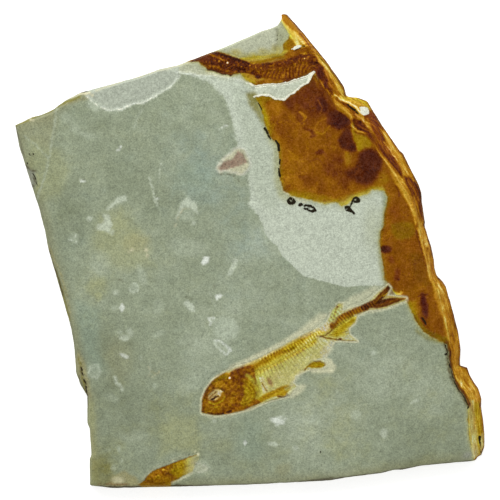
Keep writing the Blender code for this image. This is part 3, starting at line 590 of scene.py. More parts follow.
# A mark's points are x, y, x, y and so on. A spot's are x, y, half width, half height, tilt: one that
# ends early is as high as it is wide, or not tilted. Only a stroke has a half width after its points.
# Marks inside the iron stain, in order: form, points, half width, softness, tone, hue, cover.
# Tone runs from 0, umber, to 1, cream. Hue runs from -1, purple red, to 1, olive.
IRON_MARKS = (
    # the stained field
    (AREA, (4.1, 50.2, 10.2, 50.9, 12.3, 48.5, 8.9, 45.8, 5.5, 45.1, 4.1, 47.8), 1.2, 0.5, 0.1, 1),
    (AREA, (0.4, 53.6, 4.1, 52.9, 8.2, 51.9, 5.5, 50.2, 4.1, 47.8, 3.4, 49.8, 0.7, 51.5), 0.5, 0.45, 1, 1),
    (AREA, (4.8, 44.4, 8.9, 43.7, 11.6, 34.2, 12.3, 20.6, 11.3, 21.3, 10.2, 30.8, 8.9, 37.6), 1.2, 0.47,
        0.35, 1),
    (AREA, (11.6, 34.2, 17, 32.2, 21.1, 25.4, 23.2, 18.6, 17, 19.9, 12.6, 22), 1.5, 0.48, 0.15, 1),
    (SPOT, (10.4, 41.3, 1.2, 2.7, 12), 0.7, 0.33, -0.25, 1),
    (SPOT, (10.2, 43.9, 0.5, 0.2), 0.2, 0.58, -0.1, 1),
    (AREA, (11.3, 50.2, 13.6, 52.2, 16.4, 54.3, 19.1, 56.6, 21.5, 58.7, 23.8, 55.3, 26.6, 51.9, 29.3, 48.8,
        32.3, 47.8, 34, 45.1, 33.7, 42, 30.6, 41.3, 27.2, 42, 23.8, 44.7, 21.1, 43, 17.7, 45.8, 14.3, 47.1),
        1.1, 0.24, -0.1, 1),
    (AREA, (19.1, 56.6, 21.8, 59, 24.5, 55.3, 27.6, 51.2, 24.5, 51.9, 21.1, 52.9), 0.7, 0.24, 0.25, 1),
    (AREA, (16.4, 53.9, 19.1, 56, 21.1, 52.9, 19.8, 48.5, 17, 49.2, 15, 51.2), 0.8, 0.2, -0.2, 1),
    (AREA, (22.5, 52.2, 25.9, 52.6, 27.2, 49.8, 25.9, 46.8, 22.5, 47.5), 0.8, 0.12, -0.45, 1),
    (AREA, (27.2, 47.8, 32, 47.5, 34, 45.1, 33.4, 42, 30, 41.3, 27.2, 42.4, 25.9, 44.7), 0.8, 0.12, -0.3,
        1),
    (SPOT, (31.3, 43.9, 2.4, 1.9, 10), 0.8, 0.12, -0.4, 1),
    (SPOT, (24.2, 44.1, 2.7, 1.7, 20), 1.2, 0.4, -0.05, 1),
    (AREA, (32.3, 42, 34.4, 41.7, 34.7, 38.3, 36.4, 35.6, 36.1, 33.9, 33, 33.9, 31, 34.9, 30, 37.6,
        31.3, 39.6), 0.7, 0.13, -0.3, 1),
    (AREA, (34.4, 41.3, 36.8, 39.6, 39.5, 39, 41.5, 36.6, 40.8, 34.5, 38.8, 33.5, 37.1, 33.2, 36.4, 34.9,
        35.4, 37.6), 0.35, 0.51, 0.95, 1),
    (AREA, (32, 33.5, 34, 33.9, 34.7, 32.2, 34.4, 30.1, 33, 28.4, 31.7, 30.1, 31.7, 32.2), 0.6, 0.5, 0.5,
        1),
    (AREA, (27.2, 33.5, 31.3, 33.5, 32, 28.1, 30, 24, 25.9, 25.4, 25.2, 30.1), 1.5, 0.31, -0.35, 1),
    (SPOT, (30, 30.5, 1.5, 1.2), 0.8, 0.22, -0.3, 1),
    (AREA, (37.1, 32.5, 39.5, 34.2, 41.5, 34.5, 43.6, 32.8, 44.6, 29.8, 43.2, 26.7, 40.8, 25, 37.4, 23.7,
        34, 24.3, 32, 26.7, 34.7, 28.4, 36.4, 30.1), 1.4, 0.15, -0.25, 1),
    (AREA, (38.1, 32.8, 41.2, 34.2, 43.6, 32.2, 43.9, 29.1, 41.5, 27.7, 38.1, 28.8), 1.8, 0.08, -0.4, 1),
    (SPOT, (23.5, 33.2, 1.4, 0.6), 0.4, 0.24, -0.25, 1),
    (STROKE, (18.7, 42.5, 20.4, 41, 22.1, 39.3), 0.41, 0.3, 0.27, -0.25, 1),
    (STROKE, (16.2, 46.1, 17.2, 46.9, 18.4, 46.4), 0.2, 0.25, 0.56, 0.1, 1),
    (STROKE, (14.7, 31.5, 16.7, 30.3, 18.1, 30.1), 0.2, 0.3, 0.57, 0.15, 1),
    (STROKE, (21.5, 29.8, 22.1, 28.1), 0.17, 0.25, 0.52, -0.1, 1),
    (STROKE, (17.7, 26, 18.7, 25.8), 0.2, 0.25, 0.58, 0, 1),
    (SPOT, (22.8, 23, 0.3), 0.25, 0.58, 0, 1),
    (STROKE, (27.6, 35.6, 29.3, 35.2, 28.6, 34.2), 0.2, 0.3, 0.52, 0.3, 1),
    (STROKE, (34.7, 25.4, 36.8, 26.7, 37.4, 28.1), 0.17, 0.3, 0.32, -0.3, 1),
    (AREA, (41.5, 24.7, 45.6, 27.4, 47.6, 24, 47, 20.6, 42.9, 20.6), 1.2, 0.46, 0.55, 1),
    (SPOT, (43.2, 25.2, 0.4, 0.3), 0.2, 0.66, -0.5, 1),
    (SPOT, (44.7, 24.8, 0.3, 0.2), 0.2, 0.12, 0, 1),
    (AREA, (12.3, 19.2, 17, 17.9, 23.8, 16.9, 30.6, 16.5, 36.1, 17.5, 41.5, 20.3, 45.6, 20.6, 45.6, 22.6,
        39.5, 21.6, 32.3, 19.6, 23.8, 19.2, 15.7, 20.6), 1, 0.5, 0.8, 1),
    (STROKE, (11.6, 18.6, 15.7, 17.2, 19.8, 16.2, 24.5, 15.7, 29.3, 15.5, 32.7, 16.5, 34.7, 17.7,
        38.1, 18.6, 41.5, 19.9, 44.9, 20.8), 0.75, 0.9, 0.62, 1, 0.75),
    (STROKE, (4.5, 49.8, 5.8, 45.1, 7.2, 40.3), 0.85, 1, 0.52, 0.75, 1),
    (AREA, (15.7, 49.8, 19.1, 47.8, 21.8, 43.7, 19.8, 41.7, 16.4, 44.4, 14.3, 47.1), 1, 0.33, -0.2, 1),
    (STROKE, (17, 46.8, 18.7, 45.1, 18.1, 43.4, 16, 43), 0.2, 0.3, 0.56, 0.1, 1),
    (STROKE, (23.2, 51.2, 24.5, 48.8, 23.8, 46.4), 0.2, 0.3, 0.4, -0.2, 1),
    (STROKE, (25.9, 45.1, 23.2, 43.7, 21.8, 41), 0.2, 0.3, 0.52, 0.1, 1),
    (STROKE, (18.4, 41.7, 20.4, 40.7, 22.1, 39.3, 20.8, 38.6), 0.34, 0.3, 0.22, -0.3, 1),
    (STROKE, (11.6, 28.1, 13.6, 30.8, 15.7, 32.2), 0.2, 0.3, 0.56, 0.2, 1),
    (STROKE, (13, 24.7, 16.4, 25.4, 19.1, 27.4), 0.2, 0.3, 0.55, 0.1, 1),
    (STROKE, (29.3, 28.1, 31.3, 25.4, 30, 22.6), 0.24, 0.4, 0.24, -0.3, 1),
    (STROKE, (24.5, 34.2, 26.6, 31.5, 25.2, 28.8), 0.24, 0.4, 0.3, -0.3, 1),
    (SPOT, (23.8, 33.5, 1.4, 0.7, 10), 0.3, 0.22, -0.3, 1),
    (STROKE, (24.5, 21.3, 29.3, 19.6, 34, 20.9, 38.1, 22.6), 1.7, 1, 0.4, 0.1, 1),
    (STROKE, (11.6, 17.9, 15.7, 16.5, 19.8, 15.5, 24.5, 15.2, 29.3, 14.8, 32.7, 15.8, 34.7, 17.2,
        38.1, 17.9, 41.5, 19.2, 44.9, 20.3), 0.75, 0.6, 0.64, 1.6, 0.85),
    # the strip along the rim
    (AREA, (45.3, 22.3, 48.7, 24, 52.4, 15.5, 55.8, 5.3, 59.2, -3.9, 63.3, -16.8, 66.7, -30.4, 61.2, -29.7,
        54.4, -17.5, 49.3, -12, 45.6, -9.3, 44.2, 0.2, 45.3, 8.7, 47, 15.5), 1, 0.41, 0.1, 1),
    (AREA, (47, 15.2, 50.4, 15.8, 51.7, 11.8, 48.3, 9.7, 46.3, 11.1), 0.9, 0.4, -0.3, 1),
    (AREA, (45.3, 7.7, 47.6, 9, 48.3, 3.6, 46.3, 1.2, 44.6, 3.6), 0.8, 0.42, -0.15, 1),
    (AREA, (48, 9, 52.4, 10.1, 55.8, 9, 56.5, 5.6, 53.8, 3.6, 49.7, 3.9, 48, 6), 0.9, 0.41, 0.95, 1),
    (AREA, (52.7, 3.6, 56.8, 3.6, 57.8, 0.2, 55.1, -1.2, 52.4, 0.2), 0.9, 0.42, -0.25, 1),
    (SPOT, (46.3, 0.4, 1.8, 1.2), 0.5, 0.12, -0.5, 1),
    (SPOT, (45.4, 0.7, 0.7, 0.9), 0.3, 0.05, -0.2, 1),
    (SPOT, (48, -3, 1.6, 1.2, -30), 0.6, 0.31, -0.6, 1),
    (SPOT, (50, -8.1, 1.2, 2.2, -20), 0.6, 0.3, -0.6, 1),
    (SPOT, (50.4, -9.7, 0.5, 0.4), 0.3, 0.16, -0.4, 1),
    (SPOT, (50, -4.6, 0.5, 0.3), 0.3, 0.5, -0.8, 1),
    (AREA, (54.4, -0.5, 58.5, -1.2, 60.6, -7.3, 61.2, -12, 57.8, -12.7, 55.1, -7.3), 1, 0.37, 0.5, 1),
    (AREA, (53.1, -10, 58.5, -10.7, 61.2, -14.1, 55.1, -16.8, 52.4, -14.8), 0.8, 0.41, 0.2, 1),
    (STROKE, (56.7, 6.7, 57.5, 3.6, 59.1, -1.2, 60.2, -5.9), 0.31, 0.3, 0.22, 0.1, 1),
    (AREA, (53.8, -17.5, 56.5, -16.8, 57.5, -22.9, 59.5, -27.7, 57.2, -27, 54.8, -22.2), 0.8, 0.52, 0.7, 1),
    (AREA, (60.6, -14.8, 63.3, -14.8, 65, -22.9, 66, -28.4, 61.9, -27.7, 60.6, -21.6), 0.9, 0.42, -0.1, 1),
    (SPOT, (59.3, -18.8, 1.3, 3.9, 8), 0.5, 0.16, -0.5, 1),
    (SPOT, (59.4, -18.8, 0.7, 2.7, 8), 0.5, 0.09, -0.7, 1),
    (STROKE, (57, -15.8, 58.2, -15, 60.4, -15), 0.27, 0.3, 0.18, -0.2, 1),
    (STROKE, (58.2, -22.8, 58.9, -23.9, 59.9, -25), 0.27, 0.3, 0.12, 0, 1),
    (STROKE, (58.9, -28.4, 61.9, -29.9, 66.7, -31.1), 0.27, 0.4, 0.3, 0.6, 1),
    (STROKE, (49.7, 22, 50.5, 20.6, 50.7, 18.6), 0.34, 0.35, 0.24, -0.3, 1),
    # the rim
    (AREA, (10.6, 80.8, 12.3, 80.4, 17, 75, 23.2, 67.2, 21.8, 64.1, 19.1, 69.2, 15.7, 74, 10.2, 77.4), 0.4,
        0.66, -0.2, 1),
    (STROKE, (10.6, 80.4, 10.4, 78.7, 10.2, 77), 0.27, 0.25, 0.22, 0.1, 1),
    (STROKE, (11.6, 78.4, 14, 75.3, 16.7, 71.6, 19.1, 68.9), 0.2, 0.25, 0.45, -0.2, 1),
    (STROKE, (10.6, 77.2, 12.8, 75.9, 14.9, 74.1, 16.7, 72.1, 18.1, 70.4, 18.6, 69.4), 0.54, 0.3, 0.88, 0.2,
        1),
    (STROKE, (15.7, 74.7, 18.4, 71.3, 20.8, 68.2, 22.5, 65.8), 0.41, 0.3, 0.72, 0.1, 1),
    (STROKE, (16.9, 73.8, 18.7, 71.6, 20.4, 69.6), 0.2, 0.25, 0.34, -0.9, 1),
    (STROKE, (18.7, 69.2, 20.8, 68, 22.7, 65.8, 23.8, 64.1, 24.9, 61.7), 0.27, 0.25, 0.8, -0.6, 1),
    (AREA, (19.1, 69.2, 23.2, 64.8, 25.9, 59.4, 28.6, 52.9, 27.2, 52.6, 24.5, 56.6, 21.8, 60.7, 19.8, 65.5),
        0.5, 0.24, -0.35, 1),
    (SPOT, (23.8, 60.4, 1.5, 2.4, -25), 0.6, 0.15, -0.4, 1),
    (SPOT, (25.9, 57, 0.7, 2, -25), 0.4, 0.14, -0.5, 1),
    (STROKE, (25.5, 61.4, 26.6, 59, 27.4, 57, 27.9, 55.3), 0.31, 0.25, 0.64, -1, 1),
    (STROKE, (26.2, 60.7, 27.6, 58, 28.6, 55.3, 30, 52.9), 0.54, 0.35, 0.42, -0.25, 1),
    (STROKE, (23.5, 65.5, 25.9, 62.8, 28.6, 58.7, 31, 54.6, 32, 52.6), 0.95, 0.35, 0.74, 0.35, 1),
    (STROKE, (24.5, 64.1, 27.2, 60, 29.6, 56), 0.17, 0.2, 0.86, 0.1, 1),
    (STROKE, (26.9, 59.4, 28.9, 56, 31, 52.9), 0.2, 0.25, 0.48, 0.2, 1),
    (STROKE, (22.5, 67.2, 25.9, 63.4, 28.9, 59.4, 31.3, 55.6, 32.5, 52.7), 0.24, 0.25, 0.4, 1, 1),
    (AREA, (21.8, 60.4, 24.5, 56.6, 27.6, 51.9, 27.2, 50.9, 24.2, 54.6, 21.5, 58.3), 0.35, 0.52, 0.1, 1),
    (STROKE, (21.7, 60.5, 23.2, 58.5, 25.2, 55.8, 27.1, 53.2, 28.3, 51.5), 0.27, 0.2, 0.86, -0.35, 1),
    (AREA, (27.2, 52.6, 30.6, 50.5, 33.7, 47.8, 35.7, 44.7, 35.1, 43.4, 32.3, 46.1, 29.3, 48.1, 27.6, 49.8),
        0.35, 0.68, 0.2, 1),
    (STROKE, (29.3, 50, 31.7, 48.3, 33.7, 46.4, 34.9, 44.7), 0.2, 0.2, 0.86, 0.1, 1),
    (STROKE, (27.6, 50.5, 29.6, 48.3, 32, 47, 34, 44.7), 0.2, 0.25, 0.5, 0.3, 1),
    (AREA, (28.9, 52.6, 32.3, 50.5, 34.7, 48.8, 36.8, 46.4, 36.1, 44.7, 33.7, 48.1, 30.6, 50.5), 0.4, 0.34,
        -0.25, 1),
    (STROKE, (29.6, 51.7, 31.7, 50.4, 34, 49.2, 35.7, 47.1), 0.34, 0.35, 0.3, -0.3, 1),
    (STROKE, (33.7, 47.8, 34.7, 46.4, 35.7, 44.5), 0.2, 0.25, 0.58, -0.3, 1),
    (AREA, (32.7, 52.2, 36.4, 52.2, 39.5, 51.3, 40.7, 49.6, 40.2, 48.6, 38.1, 48.6, 36.1, 49.6, 33.7, 51),
        0.3, 0.62, 0.55, 1),
    (STROKE, (34, 51, 36.4, 50, 38.5, 49.2), 0.34, 0.3, 0.8, 0.3, 1),
    (SPOT, (39.5, 50.7, 0.5, 0.4), 0.25, 0.7, -0.6, 1),
    (STROKE, (32.3, 52.4, 34.7, 52.5, 37.4, 52.2, 39.8, 51.2), 0.27, 0.25, 0.44, 0.9, 1),
    (STROKE, (28.9, 52.9, 30.6, 51.7, 32.2, 50.9, 34, 50.2, 36.1, 48.8, 37.6, 47.1), 0.31, 0.2, 0.97, -0.1,
        1),
    (STROKE, (35.9, 46.3, 37.3, 45.4, 38.7, 44.1, 39.8, 42, 40.5, 40.5), 0.27, 0.2, 0.84, -0.5, 1),
    (AREA, (35.7, 44.7, 38.1, 44.1, 39.8, 41.7, 40.5, 40, 38.5, 40, 36.4, 41, 35.1, 43), 0.4, 0.13, -0.3,
        1),
    (SPOT, (37.8, 42.7, 0.5, 0.4), 0.3, 0.32, -0.3, 1),
    (STROKE, (35.3, 44.4, 34.6, 42.7, 35.4, 41.1), 0.41, 0.3, 0.6, 0.7, 1),
    (STROKE, (34.7, 42.4, 36.1, 41, 37.8, 40.3, 39.8, 39.8, 41.5, 37.9), 0.24, 0.2, 0.84, 0, 1),
    (AREA, (38.1, 46.4, 40.8, 47.8, 43.2, 45.8, 45.3, 42, 47, 37.6, 49.7, 31.5, 51.7, 27.4, 52.4, 24.7,
        49.7, 27.4, 46.3, 33.5, 42.9, 38.3, 40.8, 42.4), 0.5, 0.32, -0.75, 1),
    (STROKE, (41.5, 43.7, 42.9, 40, 44.6, 36.9), 0.54, 0.6, 0.36, -1, 1),
    (STROKE, (39.8, 45.1, 40.8, 42.7, 41.5, 40.7), 0.2, 0.25, 0.6, -0.6, 1),
    (STROKE, (43.6, 36.2, 45.6, 33.5, 47.6, 30.8, 49.7, 28.1, 51.4, 25.4), 0.44, 0.35, 0.14, -0.3, 1),
    (STROKE, (44.2, 37.6, 46.6, 34.2, 48.7, 30.8, 50.7, 28.1), 0.2, 0.25, 0.52, -0.8, 1),
    (AREA, (44.2, 41.7, 46.3, 40.3, 50.4, 34.2, 53.8, 28.1, 55.1, 24.7, 53.1, 25.4, 49.7, 31.5, 46.3, 36.6),
        0.4, 0.68, 0.05, 1),
    (STROKE, (45.6, 40, 48, 36.2, 50.7, 31.8, 53.1, 27.4), 0.34, 0.3, 0.78, 0.25, 1),
    (STROKE, (45.6, 36.9, 48, 33.5, 50.4, 29.8), 0.17, 0.2, 0.86, -0.2, 1),
    (STROKE, (41.9, 47.8, 43.9, 44.7, 45.6, 42), 0.41, 0.35, 0.46, 0, 1),
    (STROKE, (40.4, 39.5, 42.1, 36.7, 43.8, 33.9, 45.5, 31.1, 47.2, 28.9), 0.26, 0.2, 0.92, -0.15, 1),
    (STROKE, (39.5, 39.8, 41.5, 37.4, 42.9, 35.2), 0.27, 0.3, 0.64, 0.5, 1),
    (AREA, (47, 29.4, 49.7, 27.4, 52.4, 24, 54.8, 19.9, 56.8, 15.2, 57.8, 9.7, 56.1, 9, 54.4, 14.5,
        51.7, 19.2, 48.7, 24), 0.5, 0.6, 0.25, 1),
    (STROKE, (47.3, 28.8, 49.3, 26, 51.4, 22.6, 53.4, 18.9), 0.27, 0.25, 0.84, 0, 1),
    (STROKE, (50.4, 22.6, 52.7, 19.9, 54.8, 15.8, 56.1, 12.4), 0.61, 0.4, 0.72, 0.3, 1),
    (STROKE, (52.4, 19.2, 54.1, 16.2, 55.5, 12.8, 56.5, 9), 0.2, 0.25, 0.82, 0.1, 1),
    (AREA, (52.1, 25.4, 55.1, 24.7, 57.5, 21.3, 58.5, 16.5, 59.2, 11.1, 58.2, 9.7, 56.5, 15.2, 54.4, 19.9),
        0.5, 0.28, -0.45, 1),
    (STROKE, (53.8, 24, 55.5, 21.3, 57.2, 17.5), 0.31, 0.3, 0.52, -0.4, 1),
    (STROKE, (55.8, 18.2, 57.2, 14.1, 58.5, 10.1), 0.24, 0.3, 0.56, 0.1, 1),
    (STROKE, (56.1, 23, 57.8, 19.9, 58.2, 15.8, 59.2, 11.1, 59.5, 8.4), 0.34, 0.3, 0.1, 0.1, 1),
    (AREA, (57.8, 9.7, 59.5, 8.4, 61.2, 2.9, 62.3, -1.8, 64, -8.6, 61.2, -10.7, 59.9, -3.9, 58.5, 3.6), 0.4,
        0.68, 0.1, 1),
    (STROKE, (57.2, 7.7, 58.5, 2.6, 60.2, -3.9, 61.6, -10), 0.31, 0.25, 0.82, 0.15, 1),
    (STROKE, (59.2, 3.6, 60.6, 1.6, 61.6, -2.5, 62.3, -6.6), 0.2, 0.25, 0.52, -0.2, 1),
    (SPOT, (60.2, 2, 0.8, 0.5, -50), 0.3, 0.9, 0.1, 1),
    (STROKE, (61.2, -3.9, 62.3, -7.6, 63.6, -10), 0.24, 0.25, 0.6, -0.6, 1),
    (AREA, (61.6, -9.3, 64.6, -9, 67, -12.7, 68.7, -18.8, 69.7, -24.3, 67.4, -27, 64.6, -20.9, 62.6, -15.4),
        0.5, 0.68, 0.15, 1),
    (STROKE, (62.3, -10.7, 64, -13.7, 65, -17.8, 66, -22.2), 0.34, 0.3, 0.8, 0.3, 1),
    (STROKE, (63.6, -10.7, 65.3, -13.1, 66.7, -16.8), 0.24, 0.25, 0.86, 0, 1),
    (STROKE, (65, -11.4, 67, -15.4, 68.4, -20.9), 0.2, 0.25, 0.55, -0.1, 1),
    (AREA, (65.7, -20.9, 69.1, -22.2, 71.1, -28.4, 71.8, -33.8, 71.1, -39.2, 68, -39.9, 66.7, -33.8,
        66.3, -27), 0.5, 0.62, 0.05, 1),
    (STROKE, (66, -22.2, 67, -27, 67.7, -32.1, 68.4, -37.2), 0.34, 0.3, 0.8, 0.35, 1),
    (STROKE, (68, -24.3, 69.1, -29.7, 69.7, -34.5, 69.7, -38.6), 0.27, 0.3, 0.54, -0.1, 1),
    (STROKE, (67.4, -18.5, 69.1, -23.6, 70.4, -28.7), 0.2, 0.25, 0.5, 0.1, 1),
    (STROKE, (66.7, -31.8, 67.4, -34.5, 67.7, -37.2, 68.7, -40.6), 0.27, 0.3, 0.4, 0, 1),
    (AREA, (68, -39.2, 71.8, -39.9, 74.2, -39.9, 76.2, -43.3, 78.2, -48.1, 78.6, -52.8, 74.8, -51.5,
        72.1, -48.1, 69.1, -44), 0.5, 0.68, 0.2, 1),
    (STROKE, (68.7, -41.3, 70.8, -44, 72.8, -46.7, 74.5, -50.1), 0.54, 0.4, 0.84, 0.3, 1),
    (STROKE, (71.8, -40.6, 73.1, -44, 75.5, -47.4), 0.24, 0.3, 0.52, 0, 1),
    (STROKE, (72.1, -40.3, 73.8, -40.1, 75.2, -42.6, 77.2, -46), 0.27, 0.3, 0.48, 0.5, 1),
    (SPOT, (71.6, -46, 0.9, 0.7, 30), 0.4, 0.88, -0.2, 1),
    (SPOT, (75, -46.9, 0.9, 0.7), 0.4, 0.82, -0.25, 1),
    (SPOT, (77.4, -49.8, 0.5, 1.2), 0.4, 0.76, -0.3, 1),
    (AREA, (73.5, -50.8, 76.2, -50.8, 76.9, -55.9, 77.2, -61.7, 77.6, -69.8, 76.2, -70.9, 75.2, -66.4,
        74.5, -59.3), 0.5, 0.84, 0.45, 0.5),
    (AREA, (76.2, -51.5, 78.9, -51.5, 79.5, -57.6, 79.6, -61.7, 77.6, -62, 76.5, -56.9), 0.4, 0.66, 0.8, 1),
    (STROKE, (75.2, -52.2, 76.2, -56.2, 76.5, -61), 0.2, 0.3, 0.6, 0.5, 0.8),
    (AREA, (78.6, -62, 79.9, -62, 79.9, -66.4, 78.9, -69.5, 78.2, -69.5), 0.3, 0.84, 0.3, 0.5),
    (AREA, (74.5, -66.4, 76.9, -65.8, 77.6, -69.8, 76.2, -70.9, 75.2, -70.5), 0.4, 0.9, 0.2, 0.5),
    # darker along the slab's right outline: painted shade where its broken edge turns under
    (STROKE, RIGHT_OUTLINE, 0.42, 0.3, 0.26, 0, 0.9),
    # beside the upper fish
    (AREA, (11.3, 69.9, 14, 73, 16, 71.3, 18.7, 69.6, 15, 67.6, 11.9, 67.2), 0.6, 0.46, 0.6, 1),
    (AREA, (-5.5, 66.6, 0.5, 66.5, 5, 66.5, 11, 68, 14, 68, 12, 65.6, 6, 65, 0, 64.8), 0.5, 0.66, 1, 0.85),
    (AREA, (-6, 60.6, -2, 60.4, 3, 59.2, 8, 58.2, 2.5, 56.6, -1.5, 57.6, -4, 58.6), 0.5, 0.62, 0.9, 0.9),
    (STROKE, (10.6, 78.1, 13.3, 74.7, 16, 70.6, 18.7, 66.5), 0.88, 0.4, 0.87, 0.45, 1),
    (STROKE, (54.8, -22.6, 57.8, -26.3, 60.6, -28.5, 63.3, -29.7, 66, -30.6), 1.22, 0.8, 0.36, 1.6, 1),
    # a dark band along the inner side of the crest: painted shadow where the face drops to the rim
    (STROKE, (66.9, -31.1, 67.7, -34.5, 67.8, -37.9, 68.4, -40.9, 69.6, -44.3, 71.6, -47.2, 73.3, -49.4,
        74.4, -52.2), 0.75, 0.35, 0.2, 0.7, 1),
    (SPOT, (70.4, -33.8, 0.9, 4.1), 0.7, 0.64, 0.1, 1),
    (STROKE, (17, 47.1, 19.1, 45.1, 18.4, 43), 0.27, 0.3, 0.6, 0.2, 1),
    (STROKE, (16, 45.1, 17.7, 43, 19.1, 44.1, 20.1, 46.4), 0.2, 0.3, 0.24, -0.2, 1),
    (STROKE, (13, 34.2, 15.7, 32.2, 17, 29.4), 0.24, 0.3, 0.56, 0.3, 1),
    (STROKE, (20.4, 30.1, 23.2, 31.5, 25.2, 28.8), 0.24, 0.3, 0.28, -0.2, 1),
    (STROKE, (27.2, 42.4, 24.5, 39.6, 22.5, 40.3), 0.24, 0.3, 0.56, 0.4, 1),
    (AREA, (17, 25.4, 21.1, 27.4, 23.2, 23.3, 19.8, 20.6), 1, 0.36, 0, 1),
    (AREA, (37.4, 32.8, 40.2, 34.2, 42.9, 33.5, 44.6, 30.8, 44.6, 27.4, 42.9, 24, 39.5, 22, 36.1, 23.3,
        36.8, 26.7, 38.8, 29.4), 1.2, 0.12, -0.3, 1),
    (STROKE, (6.2, 41.7, 5.5, 45.1, 4.5, 47.8), 0.48, 0.6, 0.6, 0.9, 1),
    (SPOT, (10.6, 41.7, 1, 1.7, -20), 1, 0.36, -0.1, 1),
    (STROKE, (27.6, 49.8, 26.6, 51.9, 24.9, 53.9), 1.02, 1, 0.2, -0.2, 1),
    (STROKE, (22.5, 58.7, 25.9, 52.6, 28.6, 48.5), 0.68, 0.5, 0.3, -0.3, 1),
    (STROKE, (35.4, 44.4, 39.5, 41, 43.6, 35.6, 47.6, 30.8, 50.4, 27.4), 0.88, 0.6, 0.27, -0.5, 1),
    (STROKE, (32, 51.9, 35.4, 51.9, 38.8, 50.5, 40.8, 48.5), 0.68, 0.6, 0.68, 0.9, 1),
    (STROKE, (27.2, 30.8, 29.3, 28.1, 31.3, 24.7, 32.7, 22.6), 1.36, 1.6, 0.3, -0.1, 1),
)

